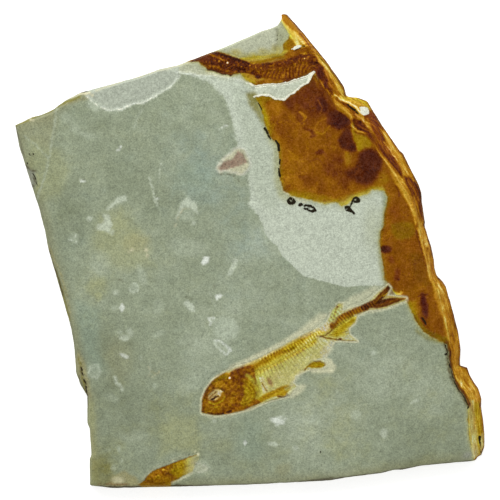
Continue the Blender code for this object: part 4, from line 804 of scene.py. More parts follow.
# Marks of the fish, in the same order as those of the stain
FISH_MARKS = (
    # main fish: body, fins, head
    (AREA, MAIN_BODY, 0.5, 0.84, 0.15, 0.36),
    (AREA, (2.8, -45.7, 4.1, -42, 6.2, -39.2, 11.9, -35.8, 18.7, -31.8, 24.2, -28.4, 28.6, -30.4,
        27.2, -33.8, 25.9, -36.5, 26.6, -38.6, 24.5, -37.9, 20.4, -36.9, 19.1, -39.9, 16, -43.3,
        13.6, -45.4, 10.6, -46.7, 6.8, -47.7, 4.1, -49.1), 0.6, 0.86, 0.2, 0.5),
    (AREA, (2.8, -48.1, 3.1, -43, 4.8, -40.6, 11.9, -36.7, 17, -33.5, 21.1, -32.1, 19.1, -35.5, 14.3, -38.6,
        10.2, -40.6, 6.2, -43, 4.8, -46), 1.4, 0.78, 0.4, 0.62),
    (AREA, (0.7, -39.9, 4.5, -39.9, 4.8, -43.3, 4.8, -48.4, 2.1, -50.5, 1.4, -50.1, 2.8, -47.4, 2.1, -44),
        0.8, 0.78, 0.4, 0.7),
    (AREA, (3.1, -43.3, 4.5, -42.6, 5.8, -47.7, 4.5, -48.8), 0.5, 0.94, 0, 0.5),
    (STROKE, (4.1, -45, 5.8, -47.7), 0.17, 0.25, 0.35, -0.2, 0.8),
    (SPOT, (6.8, -44.7, 0.7, 1.4, 30), 0.5, 0.5, -0.5, 0.7),
    (AREA, (25.9, -32.1, 28.6, -31.1, 31.7, -31.8, 28.6, -33.8, 26.2, -36.2, 24.5, -36.9, 23.8, -34.5), 0.8,
        0.9, -0.1, 0.35),
    (STROKE, (28.6, -30.7, 27.2, -33.8, 25.9, -36.5, 26.6, -39.2), 0.82, 0.9, 0.94, -0.2, 0.3),
    (STROKE, (25.2, -39.2, 20.4, -40.6, 17, -42.3, 14.7, -45.4), 0.61, 0.7, 0.97, 0, 0.42),
    (STROKE, (-4, -41.3, 0, -39.4, 3.4, -38.6), 1.53, 0.5, 0.4, 0.1, 1),
    (STROKE, (2.1, -39.6, 6.2, -37.5, 9.6, -36, 13, -34.3, 17, -32.1, 20.8, -29.9), 2.18, 0.7, 0.66, 0.1,
        1),
    (STROKE, (19.8, -30.1, 22.5, -28.7, 25.2, -27.3, 28.3, -25.6), 1.22, 0.6, 0.74, 0.2, 0.9),
    (STROKE, (-1.3, -39.1, 2.1, -37.4, 4.1, -36.2, 6.8, -34.6, 11.3, -32.3, 16.4, -29.5, 20.4, -27,
        24.5, -25.3), 0.75, 0.6, 0.84, -0.1, 0.75),
    (STROKE, (0, -40.1, 4.1, -37.9, 6.8, -36.3, 11.6, -33.6), 0.78, 0.5, 0.52, 0, 1),
    (STROKE, (11.6, -33.6, 16.4, -30.9, 20.8, -28.4), 0.54, 0.5, 0.6, 0.1, 1),
    (STROKE, (2.1, -41.6, 6.8, -39.2, 11.6, -36.3, 16.4, -33.5, 19.8, -31.4), 0.95, 0.7, 0.77, 0.2, 0.9),
    (STROKE, (11.6, -34.5, 13.3, -34, 15.3, -32.6), 0.51, 0.4, 0.44, 0.4, 1),
    (STROKE, (23.8, -29.4, 25.9, -28.7, 27.6, -27.3, 29.3, -26), 0.2, 0.2, 0.24, 0.4, 1),
    (AREA, (23.5, -27, 24.2, -24.6, 26.2, -22.9, 28.3, -23.6, 27.9, -26, 25.9, -27.7), 0.7, 0.9, -0.3,
        0.45),
    (STROKE, (28.3, -25.6, 29.6, -23.9, 32, -22.6, 34.7, -21.2, 37.4, -19.9, 39.5, -19.2), 1.22, 0.3, 0.33,
        -0.25, 1),
    (STROKE, (30, -24.3, 31.3, -22.9, 34, -21.6, 36.8, -20.5), 0.51, 0.4, 0.44, -0.4, 1),
    (STROKE, (38.8, -19.2, 40.5, -18.5, 42.2, -17.8), 1.12, 0.3, 0.12, -0.2, 1),
    # a bright spot on the dark tail: a painted glint
    (SPOT, (42.4, -17.5, 0.5, 0.2, -35), 0.15, 0.85, -0.3, 1),
    (AREA, (26.6, -24.3, 27.2, -20.9, 28.3, -18.8, 29.6, -18, 31.3, -18.2, 30.6, -19.5, 30, -22.2,
        28.6, -24.3), 0.8, 0.74, 0.7, 0.5),
    (STROKE, (28.3, -23.6, 29.3, -20.2, 29.8, -19, 31.3, -18.3), 0.2, 0.3, 0.45, 0.8, 0.8),
    (SPOT, (29.7, -19, 0.4, 0.3), 0.2, 0.22, 0.3, 1),
    (SPOT, (28.9, -20.9, 0.3, 0.2), 0.2, 0.3, 0.4, 0.9),
    (SPOT, (27.6, -22.6, 0.3, 0.2), 0.2, 0.4, 0.5, 0.8),
    (AREA, (26.2, -29, 28.3, -27, 30.6, -24.3, 34, -22.2, 36.8, -21.4, 36.1, -23.6, 35.1, -25, 32.7, -27,
        32, -28.7, 29.3, -29.7), 0.8, 0.6, 0.5, 0.95),
    (STROKE, (29.3, -28.4, 31.7, -26.3, 33.7, -24.6, 35.1, -23.6), 0.68, 0.6, 0.55, 0.35, 1),
    (STROKE, (32.7, -24.3, 34.7, -22.9, 37.4, -22.1), 0.24, 0.3, 0.82, 0.2, 0.9),
    (STROKE, (31.7, -28, 34, -26.7, 36.1, -26), 0.17, 0.25, 0.5, 0.4, 0.8),
    (STROKE, (31.3, -29, 34, -28, 36.4, -27.7), 0.17, 0.25, 0.55, 0.4, 0.7),
    (STROKE, (22.8, -29, 26.2, -29.7, 29.3, -30.2), 0.27, 0.25, 0.36, 0.2, 1),
    (STROKE, (29.3, -30.1, 31.3, -30.5, 34.7, -30.7, 37.4, -31.4), 0.2, 0.25, 0.25, 0.2, 0.85),
    (SPOT, (30.8, -30.1, 0.6, 0.4), 0.2, 0.1, -0.2, 1),
    (STROKE, (18.6, -40.6, 19.4, -39.6, 20.8, -38.7), 0.2, 0.25, 0.16, 0.2, 1),
    (AREA, (19.1, -39.6, 20.8, -38.2, 22.5, -37.5, 23.8, -37.4, 25.5, -38.2, 26.6, -39.2, 24.2, -39.9,
        21.1, -39.9), 0.35, 0.45, 0.75, 1),
    (STROKE, (20.8, -39.2, 22.5, -39.4, 24.2, -39.2), 0.31, 0.3, 0.42, -0.1, 1),
    (STROKE, (21.8, -37.7, 23.8, -37.5, 25.9, -38.7), 0.17, 0.25, 0.3, 0.7, 0.8),
    (STROKE, (19.1, -40.9, 22.5, -40.8, 26.6, -41.1), 0.24, 0.4, 0.9, 0.3, 0.7),
    (AREA, (1.7, -51.1, 3.1, -49.8, 5.5, -48.4, 8.2, -47.4, 10.9, -46, 13.6, -45.7, 14, -47.4, 12.3, -49.4,
        10.2, -49.4, 6.8, -50.1, 4.1, -51.5, 2.1, -52.5), 0.4, 0.5, 0.05, 1),
    (STROKE, (2.8, -50.8, 5.5, -49.4, 8.2, -48.4, 10.9, -47.4), 0.17, 0.25, 0.4, -0.1, 1),
    (STROKE, (7.5, -49.4, 10.9, -48.1, 13, -47.1), 0.34, 0.4, 0.6, 0, 1),
    (STROKE, (9.6, -49.6, 11.6, -49.8, 13, -49.3), 0.31, 0.25, 0.15, 0.1, 1),
    (STROKE, (12.3, -47.1, 14.3, -46, 16.7, -45.5), 0.51, 0.6, 0.56, 0.9, 0.7),
    (STROKE, (13.3, -48.8, 15, -47.4, 16.7, -46), 0.37, 0.6, 0.8, 0.7, 0.4),
    (AREA, (-2, -53.5, 0, -51.1, 4.1, -49.8, 4.1, -51.1, 1.4, -52.8), 0.5, 0.5, 0.15, 1),
    (AREA, (40.2, -17.8, 42.2, -16.5, 44.2, -14.4, 47, -11.7, 48, -12.4, 46.6, -14.8, 44.9, -16.5,
        47.6, -16.1, 51, -16.1, 53.1, -16.5, 49.7, -17.8, 45.9, -19.2, 42.9, -19.7, 40.2, -19.5), 0.3, 0.1,
        -0.1, 1),
    (STROKE, (43.2, -17.1, 45.3, -14.8, 46.6, -13.4), 0.24, 0.3, 0.24, -0.2, 1),
    (STROKE, (45.3, -15.4, 47, -14.4, 47.5, -14.9), 0.17, 0.2, 0.75, 0, 1),
    (STROKE, (43.9, -18.8, 46.3, -17.6, 47.3, -16.8), 0.2, 0.25, 0.24, -0.15, 1),
    (STROKE, (47.6, -17.3, 50, -16.5, 52.7, -16.3), 0.27, 0.3, 0.3, -0.3, 1),
    (STROKE, (46.3, -17.3, 47, -17), 0.2, 0.2, 0.2, -0.9, 1),
    (STROKE, (48.1, -13.2, 48.7, -14.4, 51, -14.8, 51.5, -14.1), 0.44, 0.25, 0.82, 0.35, 1),
    (AREA, HEAD, 0.35, 0.44, -0.45, 1),
    (AREA, (-12.5, -43.7, -11.2, -42, -8.1, -41.6, -7.1, -43.3, -9.5, -44, -11.5, -44.7), 0.6, 0.4, 0.4, 1),
    (AREA, (-4.7, -40.6, -1, -39.9, -0.3, -42.3, -1.3, -45.4, -4, -46, -6.1, -44, -7.1, -42.3), 0.7, 0.32,
        -0.35, 1),
    (AREA, (-2.3, -44, 0.7, -44.3, 2.4, -46.7, 2.4, -49.8, 0.4, -52.2, -2, -53.5, -3.4, -52.2, -2, -48.8),
        0.9, 0.52, 0.15, 1),
    (STROKE, (-1, -42.3, 0.7, -43.7, 2.1, -45.7, 2.8, -47.7, 2.6, -49.8), 0.58, 0.6, 0.6, 0.8, 0.9),
    (STROKE, (-0.3, -46, 1.1, -47.4, 1.7, -48.9, 1.2, -50.3, -0.3, -51.6), 0.15, 0.25, 0.62, 0.3, 1),
    (STROKE, (-1.3, -47.1, -0.3, -48.4, -0.3, -49.8, -1.7, -51.1), 0.14, 0.25, 0.6, 0.4, 1),
    (STROKE, (-3, -46, -2.3, -48.4, -3, -50.8, -4, -53.5), 0.17, 0.4, 0.3, -0.3, 1),
    (STROKE, (-15.1, -49.4, -14.8, -47.6, -13.6, -45.7, -11.9, -44.3), 0.27, 0.3, 0.24, 0.4, 1),
    (STROKE, (-15.3, -53.9, -14.2, -55.1, -11.2, -55.7, -8.5, -55.4, -6.4, -54.5), 0.31, 0.25, 0.13, 0, 1),
    (STROKE, (-16.8, -54.7, -14.9, -54.5), 0.2, 0.2, 0.12, 0.3, 1),
    (STROKE, (-16.1, -51.5, -15.4, -50.1), 0.27, 0.2, 0.25, 0.4, 1),
    (STROKE, (-8.6, -55.3, -7.4, -55.7, -6.4, -55.6), 0.2, 0.2, 0.7, -0.9, 1),
    (SPOT, (-11.9, -49.1, 2.4, 1.6, 32), 0.3, 0.84, -0.55, 0.55),
    (SPOT, (-9.8, -47.7, 0.8, 0.5, -20), 0.25, 0.95, -0.4, 0.6),
    (STROKE, (-14.2, -49.1, -13.2, -48.1, -12.2, -47.6), 0.17, 0.15, 0.34, -0.3, 0.9),
    (STROKE, (-13.6, -50.1, -12.5, -48.9, -11.5, -48.1), 0.17, 0.15, 0.34, -0.3, 0.9),
    (STROKE, (-12.9, -50.6, -11.7, -49.8, -10.7, -49.4), 0.37, 0.2, 0.16, 0.2, 1),
    (STROKE, (-14.8, -48.6, -13.9, -47.4, -12.4, -46.9, -10.5, -46.7, -8.6, -47.9), 0.24, 0.2, 0.24, 0.2,
        1),
    (STROKE, (-14.1, -51.5, -12.5, -52.3, -10.7, -51.8, -9.3, -51, -8.6, -49.8), 0.24, 0.25, 0.62, 0.2, 1),
    (STROKE, (-13.4, -53.2, -11.9, -53.3, -10.2, -52.8), 0.17, 0.25, 0.56, 0.2, 1),
    # a bright spot on the skull: a painted glint
    (SPOT, (-6.9, -43.3, 0.4), 0.15, 0.95, -0.45, 1),
    (SPOT, (-4.9, -49.1, 0.4), 0.25, 0.6, -0.3, 1),
    (STROKE, (-6.4, -51.8, -5.9, -50.1, -5.1, -49.4), 0.17, 0.2, 0.52, -0.1, 1),
    (STROKE, (-15.3, -53.9, -12.9, -54, -9.5, -53.9, -6.8, -53.2), 0.54, 0.4, 0.42, -0.3, 1),
    # upper fish
    (AREA, (-20.4, 64.2, -17, 65.8, -13.1, 67.3, -10.9, 67.3, -7.3, 66.3, -3, 64.7, -1.3, 63.8, 2.8, 64.1,
        6.8, 64.1, 10.6, 64.1, 13.6, 65.5, 17.4, 66.8, 21.1, 66.8, 23.2, 64.8, 21.8, 61.1, 19.1, 59.7,
        15.7, 58.7, 11.3, 58, 6.2, 58.5, 2.8, 59.2, -1.3, 60.4, -4.7, 60, -9.5, 60.4, -13.9, 61.4,
        -14.9, 62.8, -17.3, 64.2), 0.35, 0.19, -0.15, 1),
    (AREA, (-6.8, 66.5, -4, 67.5, -1.3, 66.8, 2.1, 65.8, 5.5, 66.7, 8.9, 67.5, 11.6, 67.5, 11.6, 65.5,
        7.5, 64.3, 2.1, 63.8, -0.6, 64.1, -3.4, 65.5), 0.8, 0.6, 1, 0.75),
    (AREA, (0.7, 62.8, 6.2, 62.4, 11.6, 63.4, 15.7, 64.5, 19.1, 65.5, 21.1, 62.8, 21.8, 60, 17.7, 59,
        13, 58.3, 7.5, 58, 2.8, 59), 1.2, 0.35, -0.05, 1),
    (STROKE, (-1, 63.8, 2.1, 64, 5.5, 64.6, 8.9, 65.5, 11.9, 65.9), 0.48, 0.4, 0.46, 0.8, 1),
    (AREA, (11.6, 66.5, 13.6, 68.2, 17, 69.1, 20.8, 69.2, 22.5, 66.2, 19.1, 67.2, 15.7, 66.8, 13, 65.5),
        0.5, 0.42, 0.1, 1),
    (AREA, (-5.7, 59.4, -3.7, 60.4, -1, 60.4, 2.1, 59, 2.8, 57, 0, 57.2, -2.3, 58.2), 0.4, 0.62, 0.7, 0.95),
    (AREA, (2.1, 57.7, 5.5, 58.3, 10.9, 58, 10.9, 57, 6.8, 56.6, 2.4, 56), 0.4, 0.42, 0.2, 1),
    (STROKE, (-13.9, 67, -11.5, 65.8, -8.8, 64.8), 0.27, 0.3, 0.5, 0.1, 1),
    (STROKE, (-13.1, 67.3, -10.2, 66.8, -6.8, 65.8, -3.4, 64.6, -0.3, 63.6), 0.41, 0.25, 0.05, -0.1, 1),
    (STROKE, (-21.7, 63.6, -19.3, 64.5, -17, 65.5), 0.27, 0.3, 0.08, 0, 1),
    (STROKE, (-14.9, 61.7, -12.5, 60.9, -9.5, 59.9, -5.7, 59.4), 0.41, 0.25, 0.06, -0.3, 1),
    (STROKE, (-15.9, 63.4, -12.9, 62.8, -8.8, 61.4, -4.7, 60.7), 0.34, 0.5, 0.36, 0, 1),
    (STROKE, (11.6, 57.6, 14.3, 58.3, 17, 58.9, 20.1, 59.9), 0.24, 0.25, 0.08, 0.2, 1),
    (SPOT, (2.8, 59.2, 1, 0.7), 0.4, 0.08, -0.2, 1),
    # a bright spot on the upper fish: a painted glint
    (SPOT, (-7.6, 63.9, 0.4), 0.15, 1, -0.2, 1),
    (SPOT, (18.6, 65.3, 0.3), 0.15, 0.92, -0.2, 1),
    (SPOT, (-10.5, 64.5, 0.3, 0.2), 0.2, 0.56, -0.1, 1),
    (SPOT, (-5.4, 63.1, 0.3, 0.2), 0.2, 0.62, 0, 1),
    (SPOT, (-2.8, 62.6, 0.3, 0.2), 0.2, 0.7, 0.2, 1),
    (SPOT, (0, 62.9, 0.3), 0.2, 0.62, -0.2, 1),
    (SPOT, (3.8, 62.1, 0.3), 0.2, 0.66, -0.1, 1),
    # lower fish
    (AREA, (-36.1, -78.2, -33.9, -75.4, -31.8, -74.3, -27.9, -72.8, -25.2, -71.8, -22.6, -70.8,
        -19.7, -69.8, -19, -70.9, -19, -74.9, -20, -75.6, -22.6, -76.6, -25.2, -78, -27.8, -78.9,
        -32.1, -79.4, -36, -79.4), 0.35, 0.4, -0.05, 1),
    (AREA, (-26.5, -72.9, -23.8, -71.5, -20.4, -70.5, -19, -71.2, -19.2, -74.6, -21.7, -76, -24.4, -77.2,
        -26.8, -76), 0.7, 0.55, 0.35, 1),
    (AREA, (-21, -70.9, -19.3, -70.3, -19, -74.9, -20.7, -75.4), 0.8, 0.74, 0.7, 0.8),
    (AREA, (-19.3, -70.5, -17.6, -70.5, -14.9, -73.2, -13.9, -74.6, -15.6, -75.3, -19, -75.1), 0.6, 0.8,
        0.6, 0.42),
    (AREA, (-21.7, -69.5, -16.3, -68.1, -15.6, -70.5, -19, -76.6, -22.4, -78, -21.4, -73.9), 1.6, 0.74, 0.3,
        0.5),
    (AREA, (-19.7, -68.5, -15.6, -67.8, -14.9, -71.9, -18.3, -76, -19.3, -72.6), 1.2, 0.78, 0, 0.15),
    (SPOT, (-31.2, -75.6, 2.7, 1.4, 25), 1.6, 0.44, -0.45, 1),
    (STROKE, (-36, -78.2, -34, -76.3, -32.9, -74.9, -30.6, -73.8, -27.8, -72.8, -25.5, -71.9, -22.7, -70.9,
        -20.4, -70, -18.3, -69.4), 0.2, 0.35, 0.3, 0.25, 1),
    (STROKE, (-25.1, -73.2, -25.8, -74.3, -24.4, -76.3), 0.2, 0.3, 0.44, 0.6, 1),
    (STROKE, (-27.2, -79.4, -24.8, -77.7, -22.4, -76.4), 0.27, 0.3, 0.46, 0.6, 1),
    (SPOT, (-29.4, -74.5, 0.5, 0.3), 0.2, 0.66, -0.1, 1),
    (SPOT, (-31.2, -77, 0.9, 0.7), 0.3, 0.54, 0, 1),
    (SPOT, (-31.2, -77.1, 0.4, 0.3), 0.2, 0.32, 0, 1),
    (STROKE, (-37.4, -80.4, -31, -80.6, -26, -80.2), 0.5, 0.4, 0.52, 0.1, 0.85),
)

# Pale mineral round the fish: form, points, half width, softness, strength
HALO_MARKS = (
    (STROKE, (-6.1, -39.7, -2.7, -38.4, 0.4, -36.9, 3.8, -35.3, 6.8, -33.8, 9.9, -32.3, 12.6, -30.6,
        15.7, -28.7, 18.4, -27, 20.8, -25.3, 23.2, -23.6, 25.5, -22.2), 0.82, 0.7, 0.75),
    (AREA, (14.3, -29.7, 17, -26.7, 20.4, -23.9, 23.8, -21.2, 26.2, -21.6, 24.9, -25.6, 19.1, -29), 1,
        0.55),
    (AREA, (31, -18.2, 34.7, -15.4, 38.1, -14.1, 42.2, -12, 44.6, -12.4, 41.5, -16.5, 36.8, -18.8,
        32.7, -20.5), 0.8, 0.5),
    (STROKE, (35.7, -22.2, 39.5, -21, 42.9, -20.7, 47.6, -19.5, 51.7, -17.8), 0.27, 0.35, 0.6),
    (AREA, (25.2, -36.2, 27.6, -36.9, 29.3, -39.6, 28.3, -41.6, 21.1, -41.6, 20.1, -40.3, 25.9, -39.9), 0.5,
        0.75),
    (AREA, (11.6, -50.5, 13.6, -47.4, 16.7, -45.4, 19.1, -45.7, 18.1, -47.7, 15.3, -49.8), 0.7, 0.6),
    (STROKE, (23.2, -29.4, 26.6, -31.4, 27.6, -33.8, 25.2, -36.2), 0.54, 0.7, 0.35),
    (STROKE, (17.7, -41.3, 15.7, -43.3, 14.3, -45.7), 0.54, 0.8, 0.5),
    (STROKE, (-16.3, -55.9, -12.9, -56.7, -8.1, -56.6, -3.4, -55.2, 0.7, -53.3, 4.8, -51.8), 0.24, 0.35,
        0.5),
    (STROKE, (-36.3, -77.5, -34.6, -75.6, -32.3, -73.7, -29.5, -72.5, -26.5, -71.3, -23.8, -70.2,
        -21.4, -69.4), 0.27, 0.35, 0.3),
    (STROKE, (-26.5, -78.9, -24.1, -78, -21.7, -76.6, -19.7, -75.4), 0.27, 0.35, 0.6),
    (SPOT, (-26.2, -71.4, 0.4, 0.3), 0.2, 0.8),
    (SPOT, (-18.8, -68.5, 0.4), 0.2, 0.6),
    (SPOT, (-17.6, -69.2, 0.4, 0.7), 0.2, 0.85),
    (STROKE, (-14.9, 60.7, -11.5, 59.5, -7.4, 58.9), 0.27, 0.3, 0.7),
)

# Black manganese, open cracks and a painted shadow line along the crest: form, points, half width
INK_MARKS = (
    (STROKE, (12.8, 17, 13.5, 17.6, 14.8, 17.4, 15.4, 16.7, 14.7, 16, 13.4, 16.1, 12.8, 17), 0.45),
    (STROKE, (13, 16.5, 15.3, 17), 0.12),
    (STROKE, (16.7, 15, 17.4, 15.1, 17.6, 15.7, 17, 15.9, 16.6, 15.2), 0.31),
    (STROKE, (18.4, 15.2, 19.4, 15.4, 20.4, 15.2, 21.6, 14.7, 22.3, 13.6, 21.3, 13.3, 19.8, 13.7,
        18.6, 14.3), 0.4),
    (SPOT, (20.1, 14.4, 0.4, 0.3, 10)),
    (STROKE, (34.7, 16.7, 35.1, 17.5, 36.1, 18, 37.2, 17.5, 37.1, 16.5, 35.9, 16.3, 34.9, 16.5), 0.4),
    (STROKE, (34.9, 16.4, 34.2, 15.5, 33.7, 14.7, 34.2, 13.8, 35.4, 12.6), 0.38),
    (STROKE, (33.7, 14.7, 32.6, 14.9, 32.5, 14, 33.5, 13.6, 34, 14.1), 0.38),
    (STROKE, (2.9, 50, 3.4, 49.2, 4.1, 47.6), 0.27),
    (STROKE, (5, 41.9, 5.8, 40.3, 6.8, 38.1), 0.37),
    (STROKE, (8.9, 37.4, 9.7, 36.2, 10, 34), 0.48),
    (STROKE, (10.1, 31, 10, 29.4), 0.34),
    (STROKE, (9.8, 27.6, 10.2, 24.9), 0.31),
    (STROKE, (33.4, 49.6, 35.1, 48.1, 36.9, 46.6), 0.34),
    (STROKE, (9.7, 76.5, 8.9, 70.6, 8.5, 69.2), 0.1),
    (STROKE, (14.7, 67.8, 18.7, 69.5), 0.2),
    (STROKE, (58.7, -23, 59.9, -25), 0.25),
    (STROKE, (66.6, -32.1, 67.5, -34.8, 66.3, -35.2), 0.26),
    # along the inner side of the crest: painted shadow line
    (STROKE, (67.1, -35.8, 68.4, -40.9, 69.3, -44, 70.8, -47.4, 72.9, -49.8, 73.8, -51.6, 74.2, -52.6),
        0.22),
    (SPOT, (74.3, -53.2, 0.5)),
    (AREA, (77.5, -62.9, 78.5, -62.9, 78.6, -66.8, 78.9, -69.6, 78.4, -69.6, 78.1, -65.3)),
    (STROKE, (-57.5, -39.8, -56.4, -43.3, -55.5, -48.2), 0.24),
    (STROKE, (-74.6, 28.4, -72.6, 24, -72.4, 21.6), 0.2),
    (SPOT, (-75, 32.8, 0.4)),
    (SPOT, (-73.6, 32.8, 0.4)),
    (SPOT, (-75.5, 29.4, 0.4)),
    (SPOT, (24, -68.5, 0.35, 0.5)),
    (SPOT, (24.3, -73.2, 0.3, 0.4)),
)

# White crushed edges and flakes: form, points, half width
CHALK_MARKS = (
    (AREA, (37.2, 48.8, 38.6, 49, 40.4, 48.4, 40.6, 46.6, 39, 45.9, 37.7, 46.6)),
    (AREA, (14.1, 68.5, 16, 69.9, 17.7, 69.9, 17, 68.9, 15, 68.3)),
)

# Soft patches of the bare stone: x, y, radius, lighter or darker, warmer or cooler
PATCHES = (
    (-39, 2, 8, 0.25, 0.7), (-43, 12.5, 6, 0.1, 0.4), (-53, -11, 7, 0.1, 0.5),
    (-29, -58, 12, -0.1, 0.55), (-45, -52, 14, -0.45, 0.05), (-50, -72, 10, -0.55, 0.5),
    (-62, 3, 7, -0.3, -0.2), (-11, 22, 14, -0.05, -0.7), (-21, 33, 8, 0.1, -0.5), (0, 0, 9, 0.05, -0.5),
    (-44, 36, 9, -0.2, 0), (-70, 30, 8, -0.25, 0.3), (-63, 43, 9, -0.2, -0.1), (-40, 48, 8, -0.1, 0),
    (-14, -35, 10, 0.25, -0.1), (32, -65, 10, 0.05, 0.55), (26, -48, 11, 0.15, 0.35),
    (41, -36, 9, 0.15, -0.3), (60, -55, 14, -0.15, 0.1), (0, -72, 20, -0.25, 0.25),
    (60, -70, 14, -0.4, 0.15), (17, -10, 12, 0.15, -0.2), (-20, 50, 12, 0.1, 0), (-52, 20, 12, -0.1, 0),
    (-64.6, 17.2, 9, -0.45, 0), (-34, 17.2, 9, -0.3, 0), (-51, -33.8, 10, -0.6, 0.15),
    (-39, 1.9, 6, 0.2, -0.3), (5.1, 2.6, 6, 0.6, 0), (-3.4, -16.8, 10, 0.35, 0),
    (-17, -33.8, 8, 0.27, 0), (17, -61, 11, 0.7, -0.1), (44.2, -44, 9, 0.3, 0),
    (61.2, -50.8, 9, 0.45, 0.15),
)

# Colours of the stone's own marks, and of the shade painted along its edges and beside the crest
CREAM, WHITE, PALE, MIST = (206, 202, 168), (224, 230, 218), (196, 205, 184), (178, 188, 166)
GREY, SHADE, COOL = (150, 152, 142), (122, 131, 106), (138, 156, 138)
TAN, SAND, OLIVE, RUST = (154, 149, 106), (158, 161, 116), (122, 115, 40), (118, 80, 40)
DUSK, DARK_MARK_AND_SHADE, MAROON, YELLOW = (92, 90, 64), (60, 46, 26), (136, 104, 90), (164, 152, 62)
FLANK = (188, 194, 174)

